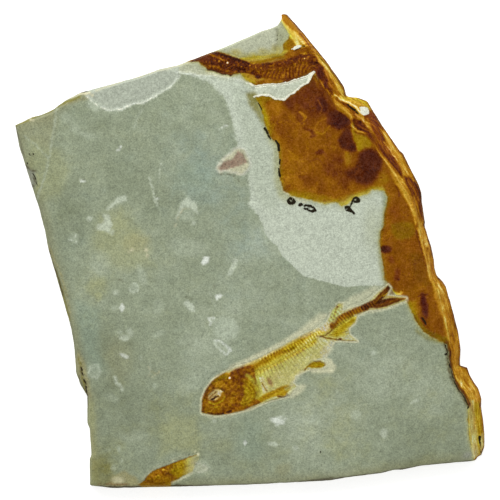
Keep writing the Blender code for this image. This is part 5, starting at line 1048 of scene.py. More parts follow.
# Marks on the bare stone, in order: form, points, half width, softness, colour, strength
TINTS = (
    (AREA, FLANK_AREA, 0.1, FLANK, 0.9),
    # the edges of the ledge and the scallop, and a painted shadow along the crest
    (STROKE, LEDGE_LINE, 0.22, 0.25, WHITE, 0.6),
    (STROKE, SCALLOP_LINE, 0.22, 0.25, WHITE, 0.55),
    # a dark brown line on the inner side of the crest: painted shadow where the face drops to the rim
    (STROKE, (66.3, -31.4, 67.1, -34.5, 67.2, -37.9, 67.7, -40.9, 68.9, -44.5, 70.9, -47.6, 72.6, -49.8,
        73.7, -52.2), 0.41, 0.3, (84, 68, 34), 0.85),
    (AREA, (-6.1, 56.6, -0.6, 54.6, 2.1, 49.2, 4.8, 41.7, 7.5, 34.2, 8.9, 24, 10.2, 17.9, 8.9, 13.1,
        4.1, 15.2, 0.7, 20.6, -0.6, 29.1, -2.3, 41, -4.7, 48.5), 2, (172, 181, 160), 0.6),
    (STROKE, (7.2, 37.6, 8.9, 34.2, 9.2, 27.4, 9.6, 22.6, 10.9, 18.6, 14.3, 16.5), 1.16, 1.4,
        (164, 164, 120), 0.6),
    (STROKE, (2.8, 51.2, 4.8, 45.8, 6.5, 39.6), 0.88, 1.2, (158, 156, 100), 0.6),
    # the stain's olive surroundings and the shadow beside the crest
    (SPOT, (-4.7, 67.2, 2, 1.2), 1, YELLOW, 0.75),
    (SPOT, (0, 65.8, 3.1, 1.4, 10), 1, YELLOW, 0.8),
    (SPOT, (4.8, 67.5, 2, 1.4, -20), 1, YELLOW, 0.65),
    (SPOT, (9.2, 68.2, 2), 1.2, YELLOW, 0.7),
    (AREA, (9.2, 76, 12.3, 75, 13.6, 72.3, 11.6, 69.6, 9.6, 68.9, 8.9, 72.3), 0.6, SAND, 0.5),
    (STROKE, (8.9, 75.7, 9.4, 73.6, 8.9, 70.9, 8.5, 68.5), 0.24, 0.4, DUSK, 0.55),
    (STROKE, (10.2, 74, 10.9, 72.3, 9.9, 70.2), 0.17, 0.3, DUSK, 0.5),
    (SPOT, (47.6, -12.7, 1), 0.8, OLIVE, 0.8),
    (AREA, (48, -12.4, 49.3, -15.8, 47, -16.1, 44.9, -16.5), 0.4, RUST, 0.75),
    (AREA, (-1.3, 53.6, 1.7, 54.1, 4.1, 51.5, 5.5, 47.5, 6.5, 43, 4.1, 43.7, 1.4, 47.1, -0.6, 50.2), 0.8,
        OLIVE, 0.85),
    (STROKE, (2.8, 49.8, 4.1, 45.1, 6.2, 39, 8.9, 35.6, 9.2, 30.1, 9.2, 24, 10.2, 19.2), 0.54, 0.9, SAND,
        0.55),
    (STROKE, (11.3, 20.3, 13.6, 18.6, 16.4, 17.2, 19.1, 16.2), 0.24, 0.25, CREAM, 0.85),
    (STROKE, (67.4, -31.4, 68, -34.5, 67.4, -37.2, 68.4, -40.6, 69.1, -44, 71.1, -47.4, 73.1, -50.1,
        73.8, -52.8), 0.68, 0.6, DUSK, 0.6),
    (STROKE, (56.5, -27, 59.9, -29.7, 63.3, -30.7, 66.7, -31.1), 0.51, 0.5, OLIVE, 0.6),
    (STROKE, (46.3, -12, 44.2, -3.9, 43.9, 3.6, 45.3, 9, 46.6, 15.8), 0.48, 0.5, OLIVE, 0.45),
    (SPOT, (41.9, 7.7, 3.1, 6.8), 2.5, SAND, 0.3),
    (SPOT, (49.3, -30.4, 0.7), 0.8, MIST, 0.3),
    (STROKE, (74.2, -53.5, 74.5, -59.3, 75.2, -65.8, 76.2, -69.8), 0.48, 0.6, SAND, 0.6),
    # warmer, cooler and darker ground
    (AREA, (-79.5, 42, -67.3, 47.1, -65.2, 44.4, -68, 34.2, -74.8, 36.9), 1.5, TAN, 0.3),
    (AREA, (-74.8, 37.6, -64.6, 34.2, -61.2, 27.4, -64.6, 18.9, -70.7, 17.2, -72.7, 22, -72, 25.7,
        -76.1, 30.8), 2, SAND, 0.42),
    (AREA, (-51, 12.1, -44.2, 13.8, -39.1, 7.7, -35.7, 3.6, -34, -3.9, -40.8, -6.6, -49.3, -4.9,
        -53.7, 1.9), 2.5, SAND, 0.5),
    (SPOT, (-38.4, 2.6, 4.4, 3.1, 10), 1.5, TAN, 0.35),
    (SPOT, (-51.6, -12.7, 3.7, 3.1), 1.5, SAND, 0.4),
    (AREA, (-59.5, -16.8, -51, -20.2, -51.6, -33.8, -47.6, -41.3, -53.7, -41.3, -56.4, -33.8, -59.1, -23.6),
        2, COOL, 0.45),
    (AREA, (-30.6, -59.3, -25.1, -56.9, -18.3, -55.9, -16.3, -64.4, -18.3, -68.5, -25.1, -67.8,
        -31.2, -70.5, -29.9, -64.4), 2, SAND, 0.55),
    (SPOT, (-8.8, -66.4, 3.1, 2.4), 1.5, SAND, 0.3),
    (SPOT, (0, -64.4, 4.8, 7.5), 2.5, COOL, 0.35),
    (SPOT, (-44.8, -37.2, 4.8, 7.5), 2.5, TAN, 0.22),
    (SPOT, (-46.9, -16.8, 4.8, 7.5), 2.5, SHADE, 0.2),
    (SPOT, (-49.3, 43.7, 3.4, 2.4), 1.5, SHADE, 0.35),
    (SPOT, (-56.4, 47.1, 3.1, 2), 1.5, SHADE, 0.3),
    (SPOT, (-43.5, 24.7, 5.4, 7.5), 2.5, SHADE, 0.3),
    (SPOT, (-33.3, 13.8, 2.7, 3.1), 1.5, SHADE, 0.35),
    (SPOT, (-18.3, 25.4, 6.8, 5.4), 2.5, COOL, 0.35),
    (SPOT, (-61.8, 10.4, 5.4, 6.1), 2.5, SHADE, 0.25),
    (SPOT, (-27.8, -8.3, 2.4, 3.1), 1.5, SHADE, 0.25),
    (SPOT, (-30.6, -50.8, 10.2, 4.1), 2.5, SHADE, 0.15),
    # soft light patches
    (SPOT, (-62.5, 45.1, 2.4, 1.4, -40), 1, MIST, 0.35),
    (SPOT, (-55.7, 39.3, 3.1, 1, -15), 0.8, MIST, 0.45),
    (SPOT, (-59.5, 41.7, 1.7, 1.4), 0.8, MIST, 0.35),
    (SPOT, (-53, 49.2, 2.7, 1.5, -28), 0.5, MIST, 0.75),
    (STROKE, (-39.4, 41.7, -38.4, 45.1, -36.7, 47.8), 0.41, 0.5, MIST, 0.5),
    (SPOT, (-51, -4.6, 3.4, 4.1), 1.5, MIST, 0.35),
    (SPOT, (-21, 1.2, 6.8, 3.1, -8), 1.2, MIST, 0.35),
    (SPOT, (-36.7, -8.6, 1.4, 3.4, 20), 0.8, MIST, 0.45),
    (SPOT, (-31.2, -19.5, 2, 2.4), 1, MIST, 0.3),
    (SPOT, (-8.1, -26.7, 4.1, 3.7), 1, MIST, 0.55),
    (SPOT, (-31.2, -28.4, 2, 1, 20), 0.8, MIST, 0.4),
    (SPOT, (-23.1, -31.1, 2, 1), 0.8, MIST, 0.35),
    (SPOT, (-20.4, -45.7, 4.8, 3.1, 25), 1.5, MIST, 0.35),
    (SPOT, (-46.9, -50.1, 2.4, 1.4, -20), 0.8, MIST, 0.3),
    (SPOT, (-53, -40.9, 2.4), 0.6, MIST, 0.4),
    (SPOT, (-17, -73.2, 3.1, 1.7), 0.7, MIST, 0.35),
    (SPOT, (-59.8, 4.3, 1.7), 0.6, MIST, 0.4),
    (SPOT, (-39.4, -63.4, 4.8, 1.7, 5), 1, MIST, 0.3),
    # the upper left edge
    (STROKE, (-80.2, 42.7, -74.1, 44.9, -68, 47.5, -64.6, 49.6, -61.8, 50.7, -57.8, 52.2), 0.44, 0.3, OLIVE,
        0.85),
    (STROKE, (-78.8, 43.5, -74.4, 45.4, -71.4, 46.2), 0.24, 0.2, CREAM, 0.7),
    (STROKE, (-68, 48.1, -65.2, 50.2, -62.5, 51.5, -58.4, 52.9), 0.34, 0.3, CREAM, 0.75),
    (STROKE, (-64.6, 49.2, -61.2, 50.2, -57.8, 51.2, -55.4, 52), 0.34, 0.3, TAN, 0.5),
    (STROKE, (-74.8, 44.6, -73.4, 44.3), 0.27, 0.25, CREAM, 0.8),
    (STROKE, (-57.8, 53.2, -55, 53.5, -53.7, 52.9), 0.41, 0.3, CREAM, 0.9),
    (SPOT, (-56.6, 54.1, 1.6, 0.4, 18), 0.15, DARK_MARK_AND_SHADE, 0.95),
    (STROKE, (-52.3, 54.6, -42.5, 58, -32.3, 60.9, -24.4, 63.2, -19.7, 64.5), 0.34, 0.35, CREAM, 0.55),
    # the left edge
    (STROKE, (-80, 42.4, -78.5, 37.6, -76.8, 32.2), 0.17, 0.2, DARK_MARK_AND_SHADE, 0.55),
    (AREA, (-76.1, 28.4, -72.7, 26.7, -73.4, 25.4, -72.4, 23.3, -74.2, 21.3), 0.3, GREY, 0.5),
    (STROKE, (-76.5, 28.9, -75.1, 27.9, -73.7, 27.3, -72.9, 26.9), 0.31, 0.2, DARK_MARK_AND_SHADE, 0.85),
    (STROKE, (-73.5, 25, -72.9, 23.3, -73.7, 22.1, -74.2, 21.3), 0.24, 0.2, DARK_MARK_AND_SHADE, 0.85),
    (STROKE, (-72.4, 26.4, -71.7, 24, -72, 22, -73.1, 19.6), 0.24, 0.3, SAND, 0.7),
    (STROKE, (-69.3, 2.9, -68, -1.8, -65.9, -8, -63.9, -13.4, -62.5, -18.8, -61.5, -23.6), 0.44, 0.35,
        OLIVE, 0.75),
    (STROKE, (-68.1, 1.2, -66.7, -2.5, -64.9, -6.9, -63.2, -11.7, -61.8, -17.1, -61.2, -21.6), 0.27, 0.3,
        TAN, 0.8),
    (STROKE, (-69, 1.9, -68, -1.8, -66.6, -5.9, -64.9, -10.7, -63.5, -15.4), 0.2, 0.2, DARK_MARK_AND_SHADE, 0.85),
    (AREA, (-58.4, -33.8, -56.4, -37.2, -55, -43.3, -54, -50.1, -56.1, -48.8, -58.4, -42.6, -59.5, -37.9),
        0.7, TAN, 0.8),
    (STROKE, (-58.4, -36.5, -57.4, -40.6, -56.7, -44.7, -55.4, -49.4), 0.31, 0.3, OLIVE, 0.8),
    (STROKE, (-57.6, -39.6, -56.7, -42.6, -55.9, -45.7, -55.2, -50.1, -55, -53.5), 0.27, 0.2, DARK_MARK_AND_SHADE, 0.95),
    (STROKE, (-58.1, -42.6, -57.1, -46, -55.5, -49.1), 0.17, 0.2, DARK_MARK_AND_SHADE, 0.6),
    (AREA, (-55, -50.1, -53, -51.5, -52.3, -64.4, -51.6, -74.6, -52.3, -80, -54.7, -80, -54.4, -67.8,
        -55.4, -59), 1, SAND, 0.55),
    (STROKE, (-54, -61, -53.3, -66.4, -53, -74.6), 0.27, 0.5, TAN, 0.5),
    # the lower left corner and the bottom edge
    (AREA, (-53.7, -71.2, -48.9, -69.8, -46.5, -74.6, -44.8, -80, -53.7, -80), 1.5, OLIVE, 0.4),
    (SPOT, (-48.9, -73.9, 2, 1.7), 1, OLIVE, 0.35),
    (AREA, (-48.6, -80, -46.9, -76.6, -42.8, -74.9, -38.7, -77, -36.7, -80), 0.7, TAN, 0.85),
    (SPOT, (-44.8, -78, 2, 1), 0.6, CREAM, 0.55),
    (STROKE, (-51.6, -79.2, -46.9, -79.4, -41.4, -79.5), 0.27, 0.3, RUST, 0.7),
    # a dark line along the bottom edge: painted shade of the side wall below it
    (STROKE, (-54.4, -80.2, -48.9, -80.5, -39.1, -80.3, -28.9, -80.1, -19.7, -80), 0.37, 0.25, DARK_MARK_AND_SHADE, 0.95),
    (STROKE, (-19.7, -80.2, -9.5, -80.1, 4.1, -79.7, 17, -79), 0.4, 0.3, DARK_MARK_AND_SHADE, 0.75),
    (STROKE, (17, -78.8, 32.3, -77.4, 44.2, -76, 57.8, -73.6, 75, -71.8), 0.5, 0.3, DARK_MARK_AND_SHADE, 0.75),
    (SPOT, (11.6, -74.3, 2.7, 2, 20), 1, TAN, 0.35),
    (SPOT, (74.2, -69.5, 2, 1, 25), 0.8, GREY, 0.6),
    # specks and scars, pale
    (AREA, (-49.9, 12.4, -47.9, 12.4, -46.9, 9, -47.9, 6, -49.6, 6.7, -52.3, 7, -51.6, 9, -49.6, 9.7), 0.35,
        PALE, 0.75),
    (AREA, (-45.5, 18.2, -42.1, 18.9, -41.8, 16.9, -44.2, 16.2, -45.9, 15.5, -48.2, 13.5, -48.9, 14.1,
        -46.2, 16.5), 0.35, PALE, 0.7),
    (SPOT, (-54.4, 10.9, 0.9, 0.8), 0.3, PALE, 0.8),
    (SPOT, (-46.9, 6.3, 0.7, 1), 0.3, PALE, 0.5),
    (AREA, (-23.4, 16.5, -21, 18, -18.3, 16.2, -17.6, 12.4, -20.4, 14.5, -22.4, 15.2, -24.1, 12.8,
        -25.5, 10.1, -24.4, 13.8), 0.5, PALE, 0.75),
    (SPOT, (-21.4, 11.8, 2.4, 1.7), 0.7, MIST, 0.45),
    (STROKE, (-25.5, 8, -24.4, 12.1, -22.4, 14.5, -20.4, 13.9), 0.17, 0.2, CREAM, 0.6),
    (SPOT, (-19.3, 9.4, 0.6, 0.8), 0.3, PALE, 0.6),
    (STROKE, (-34.4, 25, -32.9, 20.3, -32.3, 17.2, -31.2, 15.2), 0.24, 0.2, PALE, 0.75),
    (STROKE, (-30.2, 29.8, -30.8, 26.7, -30.7, 23.3), 0.17, 0.2, PALE, 0.65),
    (STROKE, (-65.6, 48.5, -66.6, 41.7, -68, 32.5, -70, 24.7, -72.2, 17.9), 0.27, 0.3, MIST, 0.6),
    (STROKE, (-76.8, 39, -72.7, 35.6, -68.6, 31.5), 0.2, 0.3, MIST, 0.6),
    (STROKE, (-10.5, 41, -9.5, 41.7, -7.8, 42.7), 0.17, 0.2, WHITE, 0.6),
    (STROKE, (-13.9, -14.1, -11.9, -18.8), 0.14, 0.2, PALE, 0.4),
    (AREA, (-5.4, -2.9, -4, -2.9, -5.1, -6.3, -6.8, -9, -7.8, -8.6, -6.4, -5.2), 0.3, PALE, 0.75),
    (AREA, (-22.4, -17.5, -21, -16.8, -19.3, -18.5, -18.7, -20.5, -20, -20.9, -21.7, -19.2), 0.3, PALE,
        0.85),
    (STROKE, (-40.8, -11.4, -38.4, -11, -38, -13.4, -39.4, -14.4, -41.1, -13.1), 0.24, 0.2, PALE, 0.65),
    (SPOT, (-45.5, -14.1, 1), 0.3, PALE, 0.5),
    (SPOT, (-45.9, -19.5, 1.4, 0.7), 0.3, MIST, 0.5),
    (SPOT, (-44.3, -27.7, 1, 0.7), 0.3, MIST, 0.5),
    (SPOT, (-40.8, -27.7, 1.2, 1.7, 20), 0.4, PALE, 0.4),
    (SPOT, (-42.8, -29.7, 1.7, 1), 0.3, PALE, 0.65),
    (SPOT, (-51.6, -15.8, 1.2, 1.7), 0.4, SAND, 0.5),
    (SPOT, (-37, -36.5, 0.7, 1, 20), 0.3, MIST, 0.4),
    (STROKE, (-55, -42.6, -54, -39.2, -51.6, -38.6, -50.6, -40.9, -52, -43.3, -54, -42.6), 0.27, 0.3, PALE,
        0.45),
    (STROKE, (-45.9, -43, -45.2, -45.4, -44.2, -45.7, -43.1, -47.4), 0.44, 0.3, PALE, 0.7),
    (STROKE, (-33.6, -37.9, -34.2, -42), 0.2, 0.3, MIST, 0.6),
    (STROKE, (-33.3, -41.3, -31.9, -42, -30.6, -40.9), 0.24, 0.3, TAN, 0.55),
    (SPOT, (-32.3, -46, 0.5, 1), 0.3, MIST, 0.5),
    (SPOT, (-44.5, -67.5, 0.6, 1.2), 0.3, MIST, 0.6),
    (SPOT, (-48.2, -67.8, 1, 0.6), 0.3, MIST, 0.35),
    (SPOT, (-43.5, -71.5, 0.5, 0.8), 0.3, MIST, 0.4),
    (SPOT, (-46.5, -73.9, 1), 0.3, MIST, 0.4),
    (SPOT, (36.1, -55.9, 2, 1.7), 0.7, MIST, 0.5),
    (SPOT, (41.9, -34.8, 0.8, 0.7), 0.3, PALE, 0.7),
    (STROKE, (54.8, -51.5, 57.2, -50.8), 0.34, 0.3, PALE, 0.6),
    (SPOT, (45.6, -62, 1.2, 1.7, 10), 0.4, PALE, 0.6),
    (SPOT, (7.9, -65.8, 1.7, 0.7), 0.3, PALE, 0.8),
    (SPOT, (15.7, -67.1, 1, 0.7), 0.3, PALE, 0.6),
    (SPOT, (-1.7, -65.4, 0.5, 0.9), 0.2, WHITE, 0.75),
    (SPOT, (-12.2, -57.9, 0.7, 0.9), 0.3, PALE, 0.45),
    # bright ones
    (AREA, (-16.3, -3.2, -14.9, -1.8, -13.6, -2.2, -13.9, -3.9, -15.6, -4.9, -16.6, -4.2), 0.2, WHITE, 0.9),
    (AREA, (-11.9, -15.4, -10.5, -14.6, -9, -15.4, -10.5, -16.1, -11.2, -16.9), 0.2, WHITE, 0.9),
    (STROKE, (-14.1, -23.1, -12.5, -22.6, -12.3, -23.6, -13.4, -25.2, -14.1, -23.1), 0.24, 0.2, WHITE, 0.8),
    (STROKE, (-12.2, -30.7, -10.5, -30.6, -8.1, -32.1, -6.4, -33.8, -8.1, -35.2, -10.5, -33.7,
        -12.2, -30.7), 0.27, 0.2, WHITE, 0.8),
    (SPOT, (-43.5, -19.5, 0.8, 1.3), 0.2, WHITE, 0.75),
    (SPOT, (-42.8, -35.7, 1.6, 0.6, -30), 0.2, WHITE, 0.6),
    (SPOT, (-56.9, 23.7, 0.9, 0.4, -20), 0.2, WHITE, 0.85),
    (STROKE, (-45.2, 33.9, -43.8, 35.4), 0.34, 0.2, WHITE, 0.8),
    (SPOT, (-40.4, 0.2, 0.9, 0.4, 40), 0.2, CREAM, 0.7),
    (SPOT, (-35.3, 0.2, 0.7, 0.5), 0.2, CREAM, 0.7),
    (SPOT, (-34.8, -1.7, 0.5), 0.2, CREAM, 0.7),
    (SPOT, (-31.6, 17.5, 0.5, 0.4), 0.2, WHITE, 0.6),
    (SPOT, (-60.8, 3.6, 0.8, 0.3), 0.2, PALE, 0.7),
    (SPOT, (-59.5, 5, 0.4, 0.7), 0.2, PALE, 0.7),
    (SPOT, (-58.9, 2.9, 0.4, 0.5), 0.2, PALE, 0.7),
    (SPOT, (9.2, -57.9, 2.4, 1, -12), 0.3, WHITE, 0.75),
    (AREA, (-12.9, -23.6, -9.5, -21.9, -5.4, -22.9, -3.4, -26.3, -4.7, -29.7, -8.8, -30.4, -12.2, -28.4),
        1.2, MIST, 0.5),
    (STROKE, (-12.5, -30.7, -11.2, -30.4, -8.1, -32.4, -7.1, -34.1, -8.1, -35.2, -10.5, -33.5,
        -12.2, -31.4), 0.24, 0.3, PALE, 0.45),
    (SPOT, (-14.9, -2.9, 1.2, 0.7, -25), 0.4, WHITE, 0.5),
    (STROKE, (-44.5, -9.7, -43.1, -10.3), 0.17, 0.3, DUSK, 0.5),
    (STROKE, (-34.6, -39.2, -34, -41.3, -34.6, -43), 0.14, 0.3, CREAM, 0.5),
    (STROKE, (-33.3, -43, -31.9, -42, -30.6, -40.9), 0.14, 0.3, CREAM, 0.4),
    (AREA, (-39.7, -11, -37.7, -11.7, -38, -13.7, -39.7, -14.1, -40.8, -13.1), 0.5, MIST, 0.5),
    (STROKE, (-41.4, -0.5, -39.7, 0.5), 0.17, 0.3, CREAM, 0.5),
    (STROKE, (-35.3, 0.9, -34.6, -1.8), 0.17, 0.3, CREAM, 0.5),
    (SPOT, (20.4, -57.9, 1.7, 0.9, -10), 0.5, MIST, 0.5),
    (STROKE, (7.9, -57.9, 9.9, -56.2, 12.3, -57.3, 11.6, -59, 8.9, -59.3), 0.2, 0.3, WHITE, 0.6),
    # the fragment beside the pale film
    (AREA, (-11.5, 28.1, -9.5, 31.5, -6.1, 33.5, -4, 35.2, -2, 34.2, -0.6, 31.5, -0.1, 29.1, -2.7, 25.4,
        -4.7, 25.8, -7.4, 26.7, -10.2, 26.7), 0.3, CREAM, 0.7),
    (AREA, (-10.7, 28, -9.2, 30.3, -5.9, 31.3, -4.2, 33.8, -2.1, 33, -0.8, 30, -3.8, 28.7, -7.2, 27.7,
        -9.5, 27), 0.3, MAROON, 0.78),
    (STROKE, (-9.8, 28.8, -8.1, 29.6), 0.27, 0.25, DARK_MARK_AND_SHADE, 0.45),
    (STROKE, (-10.5, 26, -8.1, 26.2, -5.4, 25.4, -3.7, 23.7), 0.2, 0.2, DUSK, 0.75),
    (STROKE, (-2.7, 33.5, -1, 31.8, -0.6, 30.1), 0.17, 0.2, DUSK, 0.45),
    (SPOT, (-10.8, 29.8, 0.7, 0.5), 0.3, PALE, 0.6),
    (STROKE, (-11.2, 27.7, -9.5, 30.8, -6.1, 33.9, -3.7, 35.4, -1.7, 34.5, 0, 31.1, 0.4, 28.8, -2.3, 25.7,
        -4.7, 26.4, -8.1, 27.1, -10.8, 27.1), 0.31, 0.35, (212, 212, 196), 0.6),
    (SPOT, (-3.4, 31.8, 0.5, 0.4), 0.4, (164, 136, 122), 0.7),
    (SPOT, (-6.4, 29.8, 0.5, 0.3, 30), 0.4, (122, 92, 80), 0.6),
    (SPOT, (-1.3, 30.5, 0.4, 0.3), 0.4, (118, 88, 78), 0.5),
    # the foot and the tail of the lower fish
    (AREA, (-20.4, -71.4, -17, -72.2, -14.4, -73.6, -14.2, -74.8, -16.4, -75.2, -21, -75.4), 0.6,
        (176, 180, 152), 0.6),
    (STROKE, (-18.4, -72.2, -15.6, -73, -14.2, -74, -15.4, -75, -18.6, -75.4), 0.2, 0.3, (206, 208, 186),
        0.6),
    # dark dots
    (SPOT, (-7.8, 43, 0.3), 0.2, DUSK, 0.8),
    (SPOT, (-50.1, 6.7, 0.3), 0.2, DUSK, 0.8),
    (SPOT, (-44.3, -9.7, 0.7, 0.3), 0.3, DUSK, 0.55),
    (SPOT, (-21.4, -15.8, 0.5, 0.3), 0.3, DUSK, 0.5),
    (SPOT, (-20.2, -16.5, 0.5, 0.4), 0.3, DUSK, 0.5),
    (SPOT, (-44.2, -46.7, 0.3, 0.5), 0.2, DUSK, 0.7),
    (SPOT, (-12.2, -12, 0.5, 0.3), 0.2, DUSK, 0.5),
    (STROKE, (-17.6, -59, -17.5, -66.4), 0.14, 0.2, SHADE, 0.7),
    (STROKE, (-18.5, -60.3, -18.3, -63), 0.14, 0.2, DUSK, 0.4),
)


def form_depth(xy, form, points, width=0.0):
    """Depth of each point inside one mark."""
    if form == SPOT:
        return spot_depth(xy, *points)
    line = np.reshape(points, (-1, 2))
    if form == AREA:
        return depth_in(xy, line, DEEPEST)
    return width - off_line(xy, line, DEEPEST + width)[0]


def spot_depth(xy, x, y, rx, ry=None, tilt=0):
    """Depth of each point inside a round or oval spot."""
    ry = ry or rx
    turn = math.radians(tilt)
    dx, dy = xy[:, 0] - x, xy[:, 1] - y
    u = (dx * math.cos(turn) + dy * math.sin(turn)) / rx
    v = (dy * math.cos(turn) - dx * math.sin(turn)) / ry
    return np.maximum((1 - np.hypot(u, v)) * min(rx, ry), -DEEPEST)


DEEPEST = 3.0  # how far in and out of a mark its depth is worked out
EDGE_REACH = 9.0  # and how far that of the slab's edge and of the crest
STAINED_CREST = (STAIN_FOOT, 58.0)  # from and to which y there is stain on both sides of the crest
HALO_GAP, HALO_WIDTH, HALO_STRENGTH = 0.25, 0.3, 0.75  # the pale line round the main fish
LEDGE_CHALK, FLANK_CHALK, SCALLOP_CHALK = 0.4, 0.34, 0.1  # half widths of the crushed stone
LOOSE = (0.22, 1.7, 131)  # push, size and seed of a stain's ragged edge
BONY = (0.13, 0.9, 137)  # the same for the marks on the fish
MARKS_END = (1.1, 0.85)  # heights between which the marks fade out towards the underside
STAIN_TONE, STAIN_HUE = 0.41, 0.1
RIM_TONE, RIM_HUE = 0.29, 0.35  # what the rim adds
OUTER_TONE, OUTER_SIDE = 0.12, (0.55, 1.0)  # what its outer side loses again
LOW_HUE, LOW_SPAN = 0.35, (-5.0, -40.0)  # more hue down the rim, from and to which y
TIP_HUE, TIP_SPAN = 0.15, (60.0, 72.0)  # and up to the slab's tip
FILM_SOFT, FILM_SPAN = 2, (0.0, 25.0)  # how much softer the pale film's edge gets higher up
PIGMENTS = ("iron", "fringe", "tone", "hue", "cover", "halo", "ink", "chalk", "film", "scallop", "upper",
            "light", "warm", "edge", "rim", "along", "beyond")


def warped(xy, push, size, seed):
    """The points shifted a little, so that whatever is drawn at them gets a ragged edge."""
    x, y = xy.T
    return xy + push * np.column_stack([rough(x, y, size, 2, seed), rough(x, y, size, 2, seed + 5)])


class Paint:
    """The pigments at a set of points. Depths are millimetres inside a mark, negative outside."""

    def __init__(self, points):
        xy = points[:, :2]
        loose = warped(xy, *LOOSE)
        self.ground(xy)
        self.tints(loose)
        self.spread(loose, IRON_MARKS)
        self.spread(warped(xy, *BONY), FISH_MARKS)
        outline = depth_in(xy, MAIN_BODY)
        self.halo = HALO_STRENGTH * np.exp(-((outline + HALO_GAP) / HALO_WIDTH) ** 2)
        for *mark, soft, strength in HALO_MARKS:
            self.halo = np.maximum(self.halo, strength * smooth(form_depth(xy, *mark), -soft, soft))
        self.ink = np.maximum.reduce([form_depth(loose, *mark) for mark in INK_MARKS])
        chalk = [form_depth(xy, *mark) for mark in CHALK_MARKS]
        chalk.append(form_depth(xy, STROKE, LEDGE_LINE, LEDGE_CHALK) - 0.5 * smooth(xy[:, 0], 3.0, -4.0))
        chalk.append(form_depth(xy, STROKE, FLANK_LINE, FLANK_CHALK))
        chalk.append(form_depth(xy, STROKE, SCALLOP_LINE, SCALLOP_CHALK))
        self.chalk = np.maximum.reduce(chalk)
        under = smooth(points[:, 2], *MARKS_END)
        for name in ("iron", "fringe", "film", "scallop", "upper", "ink", "chalk"):
            setattr(self, name, getattr(self, name) - 2 * DEEPEST * under)
        self.halo = self.halo * (1 - under)
        self.tint = self.tint * (1 - under[:, None])

    def ground(self, xy):
        """The large areas, and the tone of the iron stain before its marks."""
        x, y = xy.T
        self.edge = depth_in(xy, SILHOUETTE, EDGE_REACH)
        self.along, self.beyond = run_along(xy, CREST)
        gap = off_line(xy, CREST_LINE, EDGE_REACH)[0]
        across = gap / np.maximum(gap + np.maximum(self.edge, 0), 0.1)
        self.rim = depth_in(xy, RIM_AREA)
        within = np.minimum(y - STAINED_CREST[0], STAINED_CREST[1] - y)
        crest = np.clip(within, -DEEPEST, DEEPEST) - gap
        areas = [depth_in(xy, STAIN_AREA), self.rim, depth_in(xy, UPPER_STAIN), crest]
        self.fringe = np.maximum.reduce(areas)
        bodies = [depth_in(xy, fish) for fish in (MAIN_BODY, HEAD, UPPER_FISH, LOWER_FISH)]
        self.iron = np.maximum.reduce([self.fringe] + bodies)
        in_rim = smooth(self.rim, -0.2, 0.4)
        self.tone = STAIN_TONE + in_rim * (RIM_TONE - OUTER_TONE * smooth(across, *OUTER_SIDE))
        along_rim = RIM_HUE + LOW_HUE * smooth(y, *LOW_SPAN) + TIP_HUE * smooth(y, *TIP_SPAN)
        self.hue = STAIN_HUE + in_rim * along_rim
        self.cover = np.ones(len(xy))
        self.film = depth_in(xy, FILM_AREA) / (1 + FILM_SOFT * smooth(y, *FILM_SPAN))
        self.scallop = depth_in(xy, SCALLOP_AREA)
        self.upper = depth_in(xy, UPPER_AREA)
        self.light = np.zeros(len(xy))
        self.warm = np.zeros(len(xy))
        for px, py, radius, light, warm in PATCHES:
            near = np.exp(-((x - px) ** 2 + (y - py) ** 2) / radius ** 2)
            self.light += light * near
            self.warm += warm * near

    def tints(self, xy):
        """Colour laid over the bare stone, already multiplied by its share, and that share."""
        self.tint = np.zeros((len(xy), 4))
        for *mark, soft, colour, strength in TINTS:
            share = strength * smooth(form_depth(xy, *mark), -soft, soft)[:, None]
            self.tint += share * (np.append(linear(colour), 1.0) - self.tint)

    def spread(self, xy, marks):
        """Marks of iron laid one over another."""
        for *mark, soft, tone, hue, cover in marks:
            share = smooth(form_depth(xy, *mark), -soft, soft)
            self.tone += share * (tone - self.tone)
            self.hue += share * (hue - self.hue)
            self.cover += share * (cover - self.cover)

    def attributes(self):
        return {name: getattr(self, name) for name in PIGMENTS + ("tint",)}


# ---------------------------------------------------------------- the fish

# Outlines of the films that carry the bones
MAIN_FILM = (
    (-17.4, -51.2), (-16.6, -47.4), (-14.6, -44.2), (-11.5, -41.3), (-7.2, -40.4), (-5, -39), (1, -37.6),
    (7, -34.5), (12, -32.3), (17, -30), (22.1, -26.6), (25.8, -23), (28.6, -19.4), (31.6, -17.3),
    (33.4, -18.9), (37, -17.6), (40.4, -15.9), (43.4, -13.2), (47.3, -10.9), (48.3, -11.9), (46.9, -15),
    (53.4, -15.8), (53.9, -17.2), (46, -20.2), (40.6, -21.2), (37, -22), (36.8, -26.6), (39, -30.6),
    (38.6, -32.2), (30.4, -31.4), (27.4, -32.8), (26.4, -35.8), (29, -38), (28.2, -40.4), (20.6, -41.2),
    (17.2, -44), (16.9, -46.6), (13.6, -50.4), (7, -52), (0.2, -55), (-5, -56.3), (-11, -57.2),
    (-16.6, -56.4), (-17.6, -54.8), (-16.7, -53),
)
UPPER_FILM = (
    (-21.4, 62.9), (-17.2, 64.5), (-12.9, 66.3), (-10.4, 67.2), (-6.9, 67), (-3, 65.8), (0.4, 65.6),
    (5.1, 65.4), (10.4, 66), (14.8, 67.6), (17.4, 68), (21.8, 67.2), (23.3, 64), (23.2, 60.9), (21.9, 62),
    (19, 60.2), (15.7, 58.9), (11.9, 57.9), (5.1, 57.3), (0.2, 58.2), (-3.4, 59.6), (-9.9, 60.6),
    (-14.6, 61), (-18.2, 61.6),
)
LOWER_FILM = (
    (-36.2, -79), (-34, -75), (-31.8, -73.6), (-27.9, -72), (-22.6, -70), (-17.4, -68.6), (-16.4, -70),
    (-18.6, -75), (-22.6, -77.2), (-27.8, -79.2),
)
FILM_EDGE = (0.4, 0.08, 109)  # step, wander and seed of a film's edge
POCKET = 0.3  # depth of the slab's pocket under a film
POCKET_SLOPE = 0.24  # width of the pocket's side
FILM_BACK = 0.26  # depth of a film's underside
FILM_SINK = 0.015  # how far a film's border lies below the stone
FILM_RISE = 0.03  # how far the film stands above the stone

